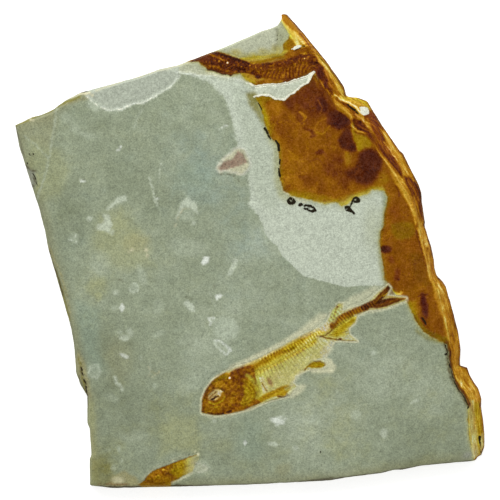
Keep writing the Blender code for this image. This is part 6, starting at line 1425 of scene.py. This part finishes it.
GILL = (
    (-2.3, -43.7), (0, -44.3), (2.1, -46), (2.6, -48.4), (1.4, -50.8), (-1.3, -52.5), (-3.4, -53.2),
    (-3, -50.1), (-2.3, -47.4),
)
GILL_HINGE = (-2.4, -48.6)
EYE = (-12.1, -49.1)
EYE_RING = 1.9
EYE_TILT = 25.0
MAIN_COLUMN = (
    (-3.4, -42.3), (0, -40.3), (3.4, -39.2), (6.8, -37.7), (10.2, -36), (13.6, -33.8), (17, -32.1),
    (20.4, -29.9), (23.8, -28.4), (27.2, -26.3), (30.6, -23.8), (34, -21.6), (37.4, -20.2), (40.2, -19),
    (42.2, -18),
)
COLUMN_WIDTH = ((0, 1.1), (12, 1.4), (20, 1.5), (26, 1.1), (34, 1.1), (40, 1.45), (45, 1.3), (50, 1))
COLUMN_RISE, VERTEBRA_RISE = 0.32, 0.07
VERTEBRA = 1.0  # length of one vertebra
RIB_RISE, SPINE_RISE, RAY_RISE = 0.05, 0.03, 0.12  # heights of ribs, of the spines above the column, of rays
RIB_PITCH = 1.19
RAY_WIDTH = 0.2
# From and to which run along the column, or distance off it, each pattern fades in or out
COLUMN_START, COLUMN_END = (0.5, 4.0), (54.5, 51.0)
BELLY_START, BELLY_END, BELLY_SIDE = (4.0, 8.0), (36.0, 30.0), (9.0, 6.0)
BACK_START, BACK_END, BACK_SIDE = (6.0, 9.0), (50.0, 44.0), (4.2, 3.0)
RIB_LINE, RIB_LINE_IN, RIB_LINE_OFF, RIB_LINE_TIPS = 1.6, 1.2, (4.5, 1.5), (8.5, 3.5)
# How much the vertebrae stand out in colour, and over which x more than elsewhere
BAND, MIDDLE_BAND, TAIL_BAND = 0.3, 0.9, 0.8
MIDDLE_START, MIDDLE_END, TAIL_START = (11.0, 13.0), (25.5, 23.0), (29.0, 31.0)
BODY_EDGE, SMALL_BODY_EDGE = (-0.3, 0.5), (-0.2, 0.4)  # depths in the body at which the relief rises
SKULL_RISE, SKULL_ROUND = 0.56, 3.6  # height of the skull, and how far in from its edge it is reached
GRIT_RISE, GRIT = 0.12, (1.1, 3, 101)  # height of the skull's grain; its size, octaves and seed
GILL_RISE, GILL_RING_RISE, GILL_RING = 0.1, 0.04, 1.15  # the gill cover and the rings on it
GILL_EDGE, GILL_RING_EDGE = (0.0, 0.4), (0.2, 0.6)  # depths in the gill cover at which they rise
HEAD_EDGE, GRIT_EDGE = (0.0, 1.5), (0.2, 0.8)  # the same for the skull and its grain
EYE_RING_RISE, EYE_RING_WIDTH, EYE_DEPTH, EYE_LINES = 0.14, 0.45, 0.28, 0.07
RIB_LEAN = ((8.0, 26.0), (-0.12, 0.2))  # how far along the column the ribs lean at the first and last
RIB_CURVE = 0.012
# Each fin: first and last root, first and last tip, number of rays
MAIN_FINS = (
    ((3.2, -49.4), (2.2, -52.2), (15.3, -46.2), (11.6, -49.6), 8),
    ((18.9, -39.7), (18.9, -40.1), (25.0, -37.9), (25.9, -39.2), 5),
    ((25.2, -29.0), (32.6, -24.6), (37.0, -31.4), (35.8, -25.2), 10),
    ((26.8, -24.2), (31.2, -21.4), (28.6, -19.4), (31.6, -18.2), 6),
    ((40.6, -17.8), (42.0, -18.4), (47.1, -11.9), (45.2, -15.0), 6),
    ((41.0, -18.6), (40.6, -19.6), (52.6, -16.5), (46.4, -19.2), 6),
)
UPPER_COLUMN = (
    (-19.6, 63.2), (-14.8, 64.2), (-9.8, 64.2), (-4.6, 63), (0.4, 62.2), (5.1, 62), (10.4, 62.4), (14, 64),
    (17.8, 65), (21.8, 64.6),
)
UPPER_RIBS = ((4, 61), (10, 61.6), (16, 63.4), (21, 63.4), (21, 60.6), (16, 58.6), (9, 57.6), (3.5, 58))
LOWER_COLUMN = ((-33.8, -77.6), (-29.6, -75.6), (-25.0, -73.8), (-20.4, -71.8))
UPPER_HALF, LOWER_HALF = 1.2, 1.1  # half widths of the small fishes' columns
SCALE_LENGTH, SCALE_WIDTH, UPPER_RIB_PITCH = 1.05, 1.1, 1.3
GRANULES = (0.62, 1, 103)  # size, octaves and seed
LOWER_GRIT, LOWER_GRIT_SPAN = (1.3, 3, 105), (-22.0, -26.0)



def run_along(xy, line):
    """Distance run along a line, and distance off it, positive on the left of its travel."""
    line = np.asarray(line, float)
    gap, side = off_line(xy, line, 12.0)
    run = np.zeros(len(xy))
    best = np.full(len(xy), 1e9)
    start = 0.0
    for a, b in zip(line[:-1], line[1:]):
        d = b - a
        span = math.hypot(*d)
        t = np.clip(((xy - a) @ d) / span ** 2, 0, 1)
        dist = np.hypot(*(xy - a - t[:, None] * d).T)
        run = np.where(dist < best, start + t * span, run)
        best = np.minimum(best, dist)
        start += span
    return run, -gap * side


def ray_crests(xy, fins):
    """How near each point is to the crest of a fin ray, 1 on it and 0 away from it."""
    crest = np.zeros(len(xy))
    for root_a, root_b, tip_a, tip_b, count in fins:
        for share in np.linspace(0, 1, count):
            root = np.array(root_a) * (1 - share) + np.array(root_b) * share
            tip = np.array(tip_a) * (1 - share) + np.array(tip_b) * share
            crest = np.maximum(crest, np.exp(-(off_line(xy, (root, tip), 1.0)[0] / RAY_WIDTH) ** 2))
    return crest


def column_relief(run, off, half):
    """Height of a vertebral column and its crests and notches, 0 outside its half width."""
    round_top = np.sqrt(np.clip(1 - (off / half) ** 2, 0, 1))
    beat = np.cos(2 * math.pi * (run + 0.12 * off) / VERTEBRA)
    return round_top * (COLUMN_RISE + VERTEBRA_RISE * beat), beat * smooth(round_top, 0.1, 0.5)


def main_relief(xy):
    """Height of the main fish over its film, and its bone pattern from -1 to 1."""
    x, y = xy.T
    run, off = run_along(xy, MAIN_COLUMN)
    half = np.interp(run, *np.array(COLUMN_WIDTH).T)
    inside = smooth(run, *COLUMN_START) * smooth(run, *COLUMN_END)
    height, beat = column_relief(run, off, half)
    middle = MIDDLE_BAND * smooth(x, *MIDDLE_START) * smooth(x, *MIDDLE_END)
    banded = BAND + middle + TAIL_BAND * smooth(x, *TAIL_START)
    height, pattern = height * inside, beat * inside * banded
    phase = (run + np.interp(run, *RIB_LEAN) * off - RIB_CURVE * off ** 2) / RIB_PITCH
    belly = smooth(-off, half, half + 0.4) * smooth(-off, *BELLY_SIDE)
    belly = belly * smooth(run, *BELLY_START) * smooth(run, *BELLY_END)
    back = smooth(off, half - 0.2, half + 0.3) * smooth(off, *BACK_SIDE)
    back = back * smooth(run, *BACK_START) * smooth(run, *BACK_END)
    ribs = np.cos(2 * math.pi * phase)
    height = height + RIB_RISE * ribs * belly + SPINE_RISE * ribs * back
    lines = 0.3 - (RIB_LINE + RIB_LINE_IN * smooth(-off, *RIB_LINE_OFF)) * np.clip(ribs, 0, 1) ** 2
    pattern = pattern + lines * belly * smooth(-off, *RIB_LINE_TIPS) + 1.3 * ribs * back
    rays = ray_crests(xy, MAIN_FINS)
    height = np.maximum(height, RAY_RISE * rays)
    pattern = pattern + rays
    head = depth_in(xy, HEAD, 5.0)
    dome = np.sqrt(np.clip(1 - (1 - np.clip(head, 0, SKULL_ROUND) / SKULL_ROUND) ** 2, 0, 1))
    grit = rough(x, y, *GRIT)
    grain = GRIT_RISE * grit * smooth(head, *GRIT_EDGE)
    height = height * (1 - smooth(head, *HEAD_EDGE)) + dome * SKULL_RISE + grain
    gill = depth_in(xy, GILL, 3.0)
    arcs = np.cos(2 * math.pi * np.hypot(x - GILL_HINGE[0], y - GILL_HINGE[1]) / GILL_RING)
    height = height + GILL_RISE * smooth(gill, *GILL_EDGE)
    height = height + GILL_RING_RISE * arcs * smooth(gill, *GILL_RING_EDGE)
    pattern = np.where(head > 0, 1.2 * grit, pattern) + 0.35 * arcs * smooth(gill, *GILL_RING_EDGE)
    from_eye = np.hypot(x - EYE[0], y - EYE[1])
    tilt = math.radians(EYE_TILT)
    across = (y - EYE[1]) * math.cos(tilt) - (x - EYE[0]) * math.sin(tilt)
    ring = EYE_RING_RISE * np.exp(-((from_eye - EYE_RING) / EYE_RING_WIDTH) ** 2)
    height = height + ring - EYE_DEPTH * smooth(from_eye, 1.6, 0.8)
    height = height + EYE_LINES * np.cos(2 * math.pi * across) * smooth(from_eye, 2.0, 1.4)
    body = depth_in(xy, MAIN_BODY)
    return height, pattern, smooth(body, *BODY_EDGE)


def upper_relief(xy):
    """The same for the upper fish: dark scaly body, ribs at its right."""
    x, y = xy.T
    run, off = run_along(xy, UPPER_COLUMN)
    height, beat = column_relief(run, off, UPPER_HALF)
    body = depth_in(xy, UPPER_FISH, 3.0)
    scales = np.cos(2 * math.pi * run / SCALE_LENGTH)
    scales = scales * np.cos(2 * math.pi * (off + 0.3 * run) / SCALE_WIDTH)
    ribs = smooth(depth_in(xy, UPPER_RIBS), -0.2, 0.5)
    lines = np.cos(2 * math.pi * (run - 0.9 * off - 0.07 * off ** 2) / UPPER_RIB_PITCH)
    granules = 4.0 * np.clip(rough(x, y, *GRANULES) - 0.2, 0, 1) - 0.4
    pattern = (1 - ribs) * (0.5 * scales + granules) + ribs * (lines + 0.5 * granules)
    height = height + (0.12 + 0.05 * pattern) * smooth(body, 0.0, 0.6)
    pattern = pattern + 0.3 * beat * (np.abs(off) < UPPER_HALF)
    return height, np.clip(pattern, -1, 1.8), smooth(body, *SMALL_BODY_EDGE)


def lower_relief(xy):
    """The same for the lower fish: granular at the left, smooth at the right."""
    x, y = xy.T
    run, off = run_along(xy, LOWER_COLUMN)
    height, beat = column_relief(run, off, LOWER_HALF)
    body = depth_in(xy, LOWER_FISH, 3.0)
    grit = rough(x, y, *LOWER_GRIT) * smooth(x, *LOWER_GRIT_SPAN)
    height = 0.8 * height + (0.14 + 0.1 * grit) * smooth(body, 0.0, 0.8)
    pattern = grit + 0.4 * beat * (np.abs(off) < LOWER_HALF)
    return height, np.clip(pattern, -1, 1), smooth(body, *SMALL_BODY_EDGE)


def film_ring(film):
    """A film's outline with its broken edge, as the film and its pocket share it."""
    return broken(film, *FILM_EDGE, True)


def make_fish(name, film, relief, material):
    """One fish: a closed thin solid that sits in its pocket, with its bones in relief."""
    ring = film_ring(film)
    inner = inner_points(ring, scattered(ring, FISH_STEP), 0.1)
    border = np.column_stack([ring, stone_height(ring) - FILM_SINK])
    height, pattern, body = relief(inner)
    rise = smooth(depth_in(inner, ring), 0.0, 0.5)
    top = stone_height(inner) - FILM_SINK + rise * (FILM_SINK + FILM_RISE + height * body)
    under_ring = border - (0.0, 0.0, FILM_SINK)
    under = inner_points(ring, scattered(ring, FILM_BACK_STEP), 0.4)
    under_points = np.column_stack([under, stone_height(under) - FILM_BACK])
    points, triangles = solid([border, under_ring], np.column_stack([inner, top]), under_points)
    attributes = Paint(points).attributes()
    spare = len(points) - len(ring) - len(inner)
    attributes["bone"] = np.pad(pattern * body * rise, (len(ring), spare))
    return new_mesh(name, points, triangles, attributes, material)


# ---------------------------------------------------------------- materials


def linear(colour):
    """A photographed sRGB colour as the surface colour that shows it under these lights."""
    return [(c / 255 / 12.92 if c < 11 else ((c / 255 + 0.055) / 1.055) ** 2.4) / EXPOSURE for c in colour]


CLOUD_SPAN = (3.6, -1.8)  # factor and shift that spread a noise node's output to about -1 to 1


class Nodes:
    """Short ways to build one material's node tree."""

    def __init__(self, name):
        self.material = bpy.data.materials.new(name)
        self.material.use_nodes = True
        self.tree = self.material.node_tree
        self.shader = self.tree.nodes["Principled BSDF"]
        self.place = self.add("ShaderNodeTexCoord").outputs["Object"]
        self.seed = 0.0

    def add(self, kind, **settings):
        node = self.tree.nodes.new(kind)
        for key, value in settings.items():
            setattr(node, key, value)
        return node

    def feed(self, socket, value):
        if isinstance(value, bpy.types.NodeSocket):
            self.tree.links.new(value, socket)
        elif isinstance(value, (list, tuple)) and len(value) == 3 and socket.type == "RGBA":
            socket.default_value = (*linear(value), 1.0)
        else:
            socket.default_value = value

    def math(self, operation, *values):
        node = self.add("ShaderNodeMath", operation=operation)
        for socket, value in zip(node.inputs, values):
            self.feed(socket, value)
        return node.outputs[0]

    def total(self, *terms):
        """The sum of (value, factor) terms."""
        result = 0.0
        for value, factor in terms:
            result = self.math("MULTIPLY_ADD", value, factor, result)
        return result

    def attribute(self, name):
        return self.add("ShaderNodeAttribute", attribute_name=name).outputs["Fac"]

    def noise(self, size, detail=2.0, roughness=0.6, stretch=(1, 1, 1), distortion=0.0):
        """Cloudy noise, about -1 to 1, in lumps of the given size."""
        self.seed += 1.7
        shift = self.add("ShaderNodeMapping")
        self.feed(shift.inputs["Vector"], self.place)
        shift.inputs["Scale"].default_value = [s / (size * MM) for s in stretch]
        shift.inputs["Location"].default_value = (self.seed, 2 * self.seed, 3 * self.seed)
        cloud = self.add("ShaderNodeTexNoise")
        for key, value in (("Vector", shift.outputs[0]), ("Scale", 1.0), ("Detail", detail),
                           ("Roughness", roughness), ("Distortion", distortion)):
            self.feed(cloud.inputs[key], value)
        return self.math("MULTIPLY_ADD", cloud.outputs["Fac"], *CLOUD_SPAN)

    def clouds(self, rows):
        """(noise, share) terms for a total, from rows of size, detail and share."""
        return [(self.noise(size, detail), share) for size, detail, share in rows]

    def fibres(self, along, beyond, width, length):
        """Noise drawn out along the rim, about -1 to 1."""
        place = self.add("ShaderNodeCombineXYZ")
        self.feed(place.inputs[0], self.math("MULTIPLY", along, 1 / length))
        self.feed(place.inputs[1], self.math("MULTIPLY", beyond, 1 / width))
        cloud = self.add("ShaderNodeTexNoise")
        for key, value in (("Vector", place.outputs[0]), ("Scale", 1.0),
                           ("Detail", 3.0), ("Distortion", 0.4)):
            self.feed(cloud.inputs[key], value)
        return self.math("MULTIPLY_ADD", cloud.outputs["Fac"], *CLOUD_SPAN)

    def fade(self, value, low, high):
        """0 below low and 1 above high, smooth between."""
        node = self.add("ShaderNodeMapRange", interpolation_type="SMOOTHSTEP")
        for key, number in (("Value", value), ("From Min", low), ("From Max", high)):
            self.feed(node.inputs[key], number)
        return node.outputs[0]

    def mix(self, factor, a, b, blend="MIX"):
        node = self.add("ShaderNodeMix", data_type="RGBA", blend_type=blend)
        self.feed(node.inputs[0], factor)
        self.feed(node.inputs[6], a)
        self.feed(node.inputs[7], b)
        return node.outputs[2]

    def ramp(self, value, stops):
        """A colour for each value, from (position, colour) stops."""
        node = self.add("ShaderNodeValToRGB")
        elements = node.color_ramp.elements
        while len(elements) < len(stops):
            elements.new(0.5)
        for element, (position, colour) in zip(elements, stops):
            element.position = position
            element.color = (*linear(colour), 1.0)
        self.feed(node.inputs[0], value)
        return node.outputs[0]

    def tint(self, colour, factor, scale):
        """The colour multiplied by a scale, as far as the factor says."""
        node = self.add("ShaderNodeMix", data_type="RGBA", blend_type="MULTIPLY")
        self.feed(node.inputs[0], factor)
        self.feed(node.inputs[6], colour)
        node.inputs[7].default_value = (*scale, 1.0)
        return node.outputs[2]


STONE_RAMP = (
    (0.0, (98, 104, 84)), (0.25, (126, 134, 109)), (0.5, (148, 157, 132)), (0.75, (170, 179, 156)),
    (1.0, (196, 204, 184)),
)
FILM_COLOUR, UPPER_COLOUR, SCALLOP_COLOUR = (196, 204, 186), (178, 182, 156), (170, 177, 160)
IRON_RAMP = (
    (0.0, (50, 22, 14)), (0.12, (76, 34, 13)), (0.25, (103, 50, 13)), (0.4, (130, 76, 5)),
    (0.55, (160, 105, 12)), (0.7, (190, 136, 34)), (0.82, (214, 172, 68)), (0.92, (236, 212, 130)),
    (1.0, (240, 236, 205)),
)
FRINGE_FAR, FRINGE_NEAR = (160, 165, 128), (168, 160, 88)  # the stone round the stain
HALO_COLOUR, CHALK_COLOUR, INK_COLOUR, BLACK = (214, 212, 176), (229, 230, 210), (36, 30, 18), (0, 0, 0)
# What a tint multiplies red, green and blue by
WARM, COOL, RIM_SHADE = (1.14, 1.05, 0.76), (0.88, 0.97, 1.15), (0.93, 0.86, 0.76)
OLIVE_SHIFT, PURPLE_SHIFT = (0.97, 1.63, 0.85), (1.0, 0.78, 2.6)
# Cloudy noise in the shale's light and warmth: size of the lumps, detail, share
LIGHT_CLOUDS = ((16.0, 2, 0.06), (6.0, 2, 0.09))
WARM_CLOUDS = ((9.0, 3, 0.35), (3.0, 2, 0.2))
PATCH_LIGHT, PATCH_WARMTH = 0.3, 0.8
# The surface's grain: size of the lumps, detail, share in the texture
GRAINS = ((2.4, 2, 0.085), (1.1, 2, 0.13), (0.55, 1, 0.22), (0.3, 1, 0.2))
DOTS, DOT_SPAN, PALE_DOTS, DARK_DOTS = (0.9, 1), (0.75, 1.2), 0.09, -0.11
TEXTURE_ON_BONE, TEXTURE_ON_STAIN, HAZE = 0.0, -0.1, 0.03  # how the stain changes its strength
# Shares and spans of depth, in millimetres, over which one colour gives way to another
FILM_SHARE, FILM_FADE = 0.85, (-0.25, 0.3)
STEP_FADE = (-0.1, 0.3)
FAR_SHARE, FAR_FADE, NEAR_SHARE, NEAR_FADE = 0.42, (-2.8, -0.3), 0.6, (-0.9, 0.0)
LOOSE_FADE = (-1.5, 0.1)  # of the noise that leaves gaps in the marks and the halo
IRON_FADE, CHALK_FADE, SHADE_FADE, INNER_FADE = (-0.28, 0.28), (-0.12, 0.12), (5.0, 0.0), (1.6, 0.0)
GLOSS, ROUGHNESS, SPECULAR = (0.04, 0.05, -0.12), 0.78, 0.03
BUMP_HEIGHT, STONE_BUMP, BONE_BUMP = 0.05, 0.6, 0.7  # its height, and its strength on stone and on bone
RAGGED = 0.35  # how far the noise moves a stain's border, in millimetres
CURL = (0.16, 0.0)  # how near to its zero line a noise draws a curl


def bare_stone(n, a, ragged):
    """The shale with its paler film, the lower layers and the marks laid over it."""
    light = n.total(*n.clouds(LIGHT_CLOUDS), (a["light"], PATCH_LIGHT))
    stone = n.ramp(n.math("ADD", light, 0.5), STONE_RAMP)
    warmth = n.total(*n.clouds(WARM_CLOUDS), (a["warm"], PATCH_WARMTH))
    stone = n.tint(stone, n.fade(warmth, 0.0, 1.2), WARM)
    stone = n.tint(stone, n.fade(warmth, 0.0, -1.2), COOL)
    stone = n.tint(stone, n.fade(a["edge"], *SHADE_FADE), RIM_SHADE)
    film_edge = n.total((a["film"], 1.0), (ragged, RAGGED))
    stone = n.mix(n.math("MULTIPLY", n.fade(film_edge, *FILM_FADE), FILM_SHARE), stone, FILM_COLOUR)
    stone = n.mix(n.fade(a["upper"], *STEP_FADE), stone, UPPER_COLOUR)
    stone = n.mix(n.fade(a["scallop"], *STEP_FADE), stone, SCALLOP_COLOUR)
    fringe = n.total((a["fringe"], 1.0), (ragged, RAGGED))
    stone = n.mix(n.math("MULTIPLY", n.fade(fringe, *FAR_FADE), FAR_SHARE), stone, FRINGE_FAR)
    stone = n.mix(n.math("MULTIPLY", n.fade(fringe, *NEAR_FADE), NEAR_SHARE), stone, FRINGE_NEAR)
    marks = n.add("ShaderNodeAttribute", attribute_name="tint")
    loose = n.fade(n.total((ragged, 0.6), (n.noise(0.9, 2), 0.6)), *LOOSE_FADE)
    black = n.math("MULTIPLY", marks.outputs["Alpha"], loose)
    return n.mix(loose, n.mix(black, stone, BLACK), marks.outputs["Color"], "ADD")


def iron_stain(n, a, ragged, bone):
    """The iron's colour, from umber to cream, purple red or olive."""
    streak = n.noise(2.6, 4, 0.65, (1.0, 0.35, 1.0), 0.6)
    light_curl = n.fade(n.math("ABSOLUTE", n.noise(2.4, 2, 0.6, distortion=1.6)), *CURL)
    dark_curl = n.fade(n.math("ABSOLUTE", n.noise(3.0, 2, 0.6, distortion=1.6)), *CURL)
    light_curl = n.math("MULTIPLY", light_curl, n.fade(n.noise(5.0, 2), 0.0, 0.5))
    dark_curl = n.math("MULTIPLY", dark_curl, n.fade(n.noise(5.0, 2), 0.0, 0.5))
    tone = n.total((a["tone"], 1.0), (n.noise(4.0, 3), 0.06), (streak, 0.06), (light_curl, 0.11),
                   (dark_curl, -0.1))
    fibre = n.fibres(a["along"], a["beyond"], 0.6, 4.0)
    in_rim = n.fade(a["rim"], 0.0, 0.5)
    tone = n.total((tone, 1.0), (n.math("MULTIPLY", fibre, in_rim), 0.2))
    if bone:
        tone = n.total((tone, 1.0), (n.attribute("bone"), 0.11), (n.noise(0.75, 2), 0.09))
    iron = n.ramp(tone, IRON_RAMP)
    inner = n.fade(n.total((a["fringe"], 1.0), (ragged, RAGGED)), *INNER_FADE)
    inner = n.math("MULTIPLY", inner, n.math("SUBTRACT", 1.0, in_rim))
    inner = n.math("MULTIPLY", inner, n.fade(tone, 1.0, 0.72))
    hue = n.total((a["hue"], 1.0), (n.noise(5.0, 3), 0.2), (inner, 0.8))
    iron = n.tint(iron, n.fade(hue, 0.0, 1.5), OLIVE_SHIFT)
    return n.tint(iron, n.fade(hue, 0.0, -1.0), PURPLE_SHIFT)


def stone_material(name, slope, bone=False):
    """Shale with its film, stains, crushed edges and marks, and the bones of a fish where bone is set."""
    n = Nodes(name)
    a = {key: n.attribute(key) for key in PIGMENTS}
    ragged = n.noise(1.3, 4, 0.7)
    grains = n.clouds(GRAINS)
    small, fine, grain = (noise for noise, _ in grains[1:])
    border = n.total((a["iron"], 1.0), (ragged, RAGGED))
    stained = n.math("MULTIPLY", n.fade(border, *IRON_FADE), a["cover"])
    colour = n.mix(stained, bare_stone(n, a, ragged), iron_stain(n, a, ragged, bone))
    halo = n.math("MULTIPLY", a["halo"], n.fade(n.total((ragged, 0.5), (small, 0.4)), *LOOSE_FADE))
    colour = n.mix(halo, colour, HALO_COLOUR)
    chalk = n.fade(n.total((a["chalk"], 1.0), (ragged, 0.28)), *CHALK_FADE)
    colour = n.mix(chalk, colour, CHALK_COLOUR)
    pale_dots = n.fade(n.noise(*DOTS), *DOT_SPAN)
    dark_dots = n.fade(n.noise(*DOTS), *DOT_SPAN)
    texture = n.total(*grains, (pale_dots, PALE_DOTS), (dark_dots, DARK_DOTS))
    strength = n.math("MULTIPLY_ADD", stained, TEXTURE_ON_BONE if bone else TEXTURE_ON_STAIN, 1.0)
    colour = n.mix(1.0, colour, n.math("MULTIPLY_ADD", texture, strength, 1.0), "MULTIPLY")
    haze = n.math("MULTIPLY", n.math("MULTIPLY", texture, stained), HAZE)
    colour = n.mix(1.0, colour, haze, "ADD")
    ink = n.total((a["ink"], 1.0), (n.noise(0.8, 3), 0.1))
    colour = n.mix(n.fade(ink, *CHALK_FADE), colour, INK_COLOUR)
    n.feed(n.shader.inputs["Base Color"], colour)
    gloss = n.total(*zip((small, fine, stained), GLOSS))
    n.feed(n.shader.inputs["Roughness"], n.math("ADD", gloss, ROUGHNESS))
    n.shader.inputs["Specular IOR Level"].default_value = SPECULAR
    bump = n.add("ShaderNodeBump")
    bump.inputs["Strength"].default_value = slope
    bump.inputs["Distance"].default_value = BUMP_HEIGHT * MM
    n.feed(bump.inputs["Height"], n.total((small, 0.5), (fine, 0.4), (grain, 0.3), (ragged, 0.3)))
    n.feed(n.shader.inputs["Normal"], bump.outputs[0])
    return n.material


# ---------------------------------------------------------------- camera, light, floor


def make_camera():
    data = bpy.data.cameras.new("camera")
    data.lens, data.sensor_width = LENS, SENSOR
    data.clip_end = CLIP_END
    camera = bpy.data.objects.new("camera", data)
    camera.location = (*PHOTO_CENTRE, FACE * MM + PHOTO_WIDTH * LENS / SENSOR)
    bpy.context.scene.collection.objects.link(camera)
    bpy.context.scene.camera = camera


def make_light():
    world = bpy.data.worlds.new("studio")
    world.use_nodes = True
    sky = world.node_tree.nodes["Background"]
    sky.inputs["Color"].default_value = (1, 1, 1, 1)
    sky.inputs["Strength"].default_value = SKY_STRENGTH
    bpy.context.scene.world = world
    data = bpy.data.lights.new("softbox", "AREA")
    data.size, data.energy = LAMP_SIZE, LAMP_POWER
    lamp = bpy.data.objects.new("softbox", data)
    lamp.location = LAMP_PLACE
    lamp.rotation_euler = (-lamp.location).to_track_quat("-Z", "Y").to_euler()
    bpy.context.scene.collection.objects.link(lamp)
    bpy.context.scene.view_settings.view_transform = "Standard"


def make_floor():
    """A white floor that glows a little, as the photograph's ground is plain white."""
    far = FLOOR_REACH
    mesh = bpy.data.meshes.new("floor")
    mesh.from_pydata([(-far, -far, 0), (far, -far, 0), (far, far, 0), (-far, far, 0)], [], [(0, 1, 2, 3)])
    floor = bpy.data.objects.new("floor", mesh)
    bpy.context.scene.collection.objects.link(floor)
    material = bpy.data.materials.new("floor")
    material.use_nodes = True
    shader = material.node_tree.nodes["Principled BSDF"]
    shader.inputs["Base Color"].default_value = (*FLOOR_COLOUR, 1)
    shader.inputs["Roughness"].default_value = FLOOR_ROUGHNESS
    shader.inputs["Emission Color"].default_value = (1, 1, 1, 1)
    shader.inputs["Emission Strength"].default_value = FLOOR_GLOW
    mesh.materials.append(material)
    floor.location.z = -FLOOR_DROP


make_camera()
make_light()
make_floor()
slab = make_slab(stone_material("shale", STONE_BUMP))
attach(slab, "root")
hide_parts("shale_slab")
bone_stone = stone_material("fossil_bone", BONE_BUMP, True)
FISH = (
    ("main_fish", MAIN_FILM, main_relief),
    ("upper_fish", UPPER_FILM, upper_relief),
    ("lower_fish", LOWER_FILM, lower_relief),
)
for node, film, relief in FISH:
    fish = make_fish(node + "_bones", film, relief, bone_stone)
    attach(fish, "root")
    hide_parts(node)
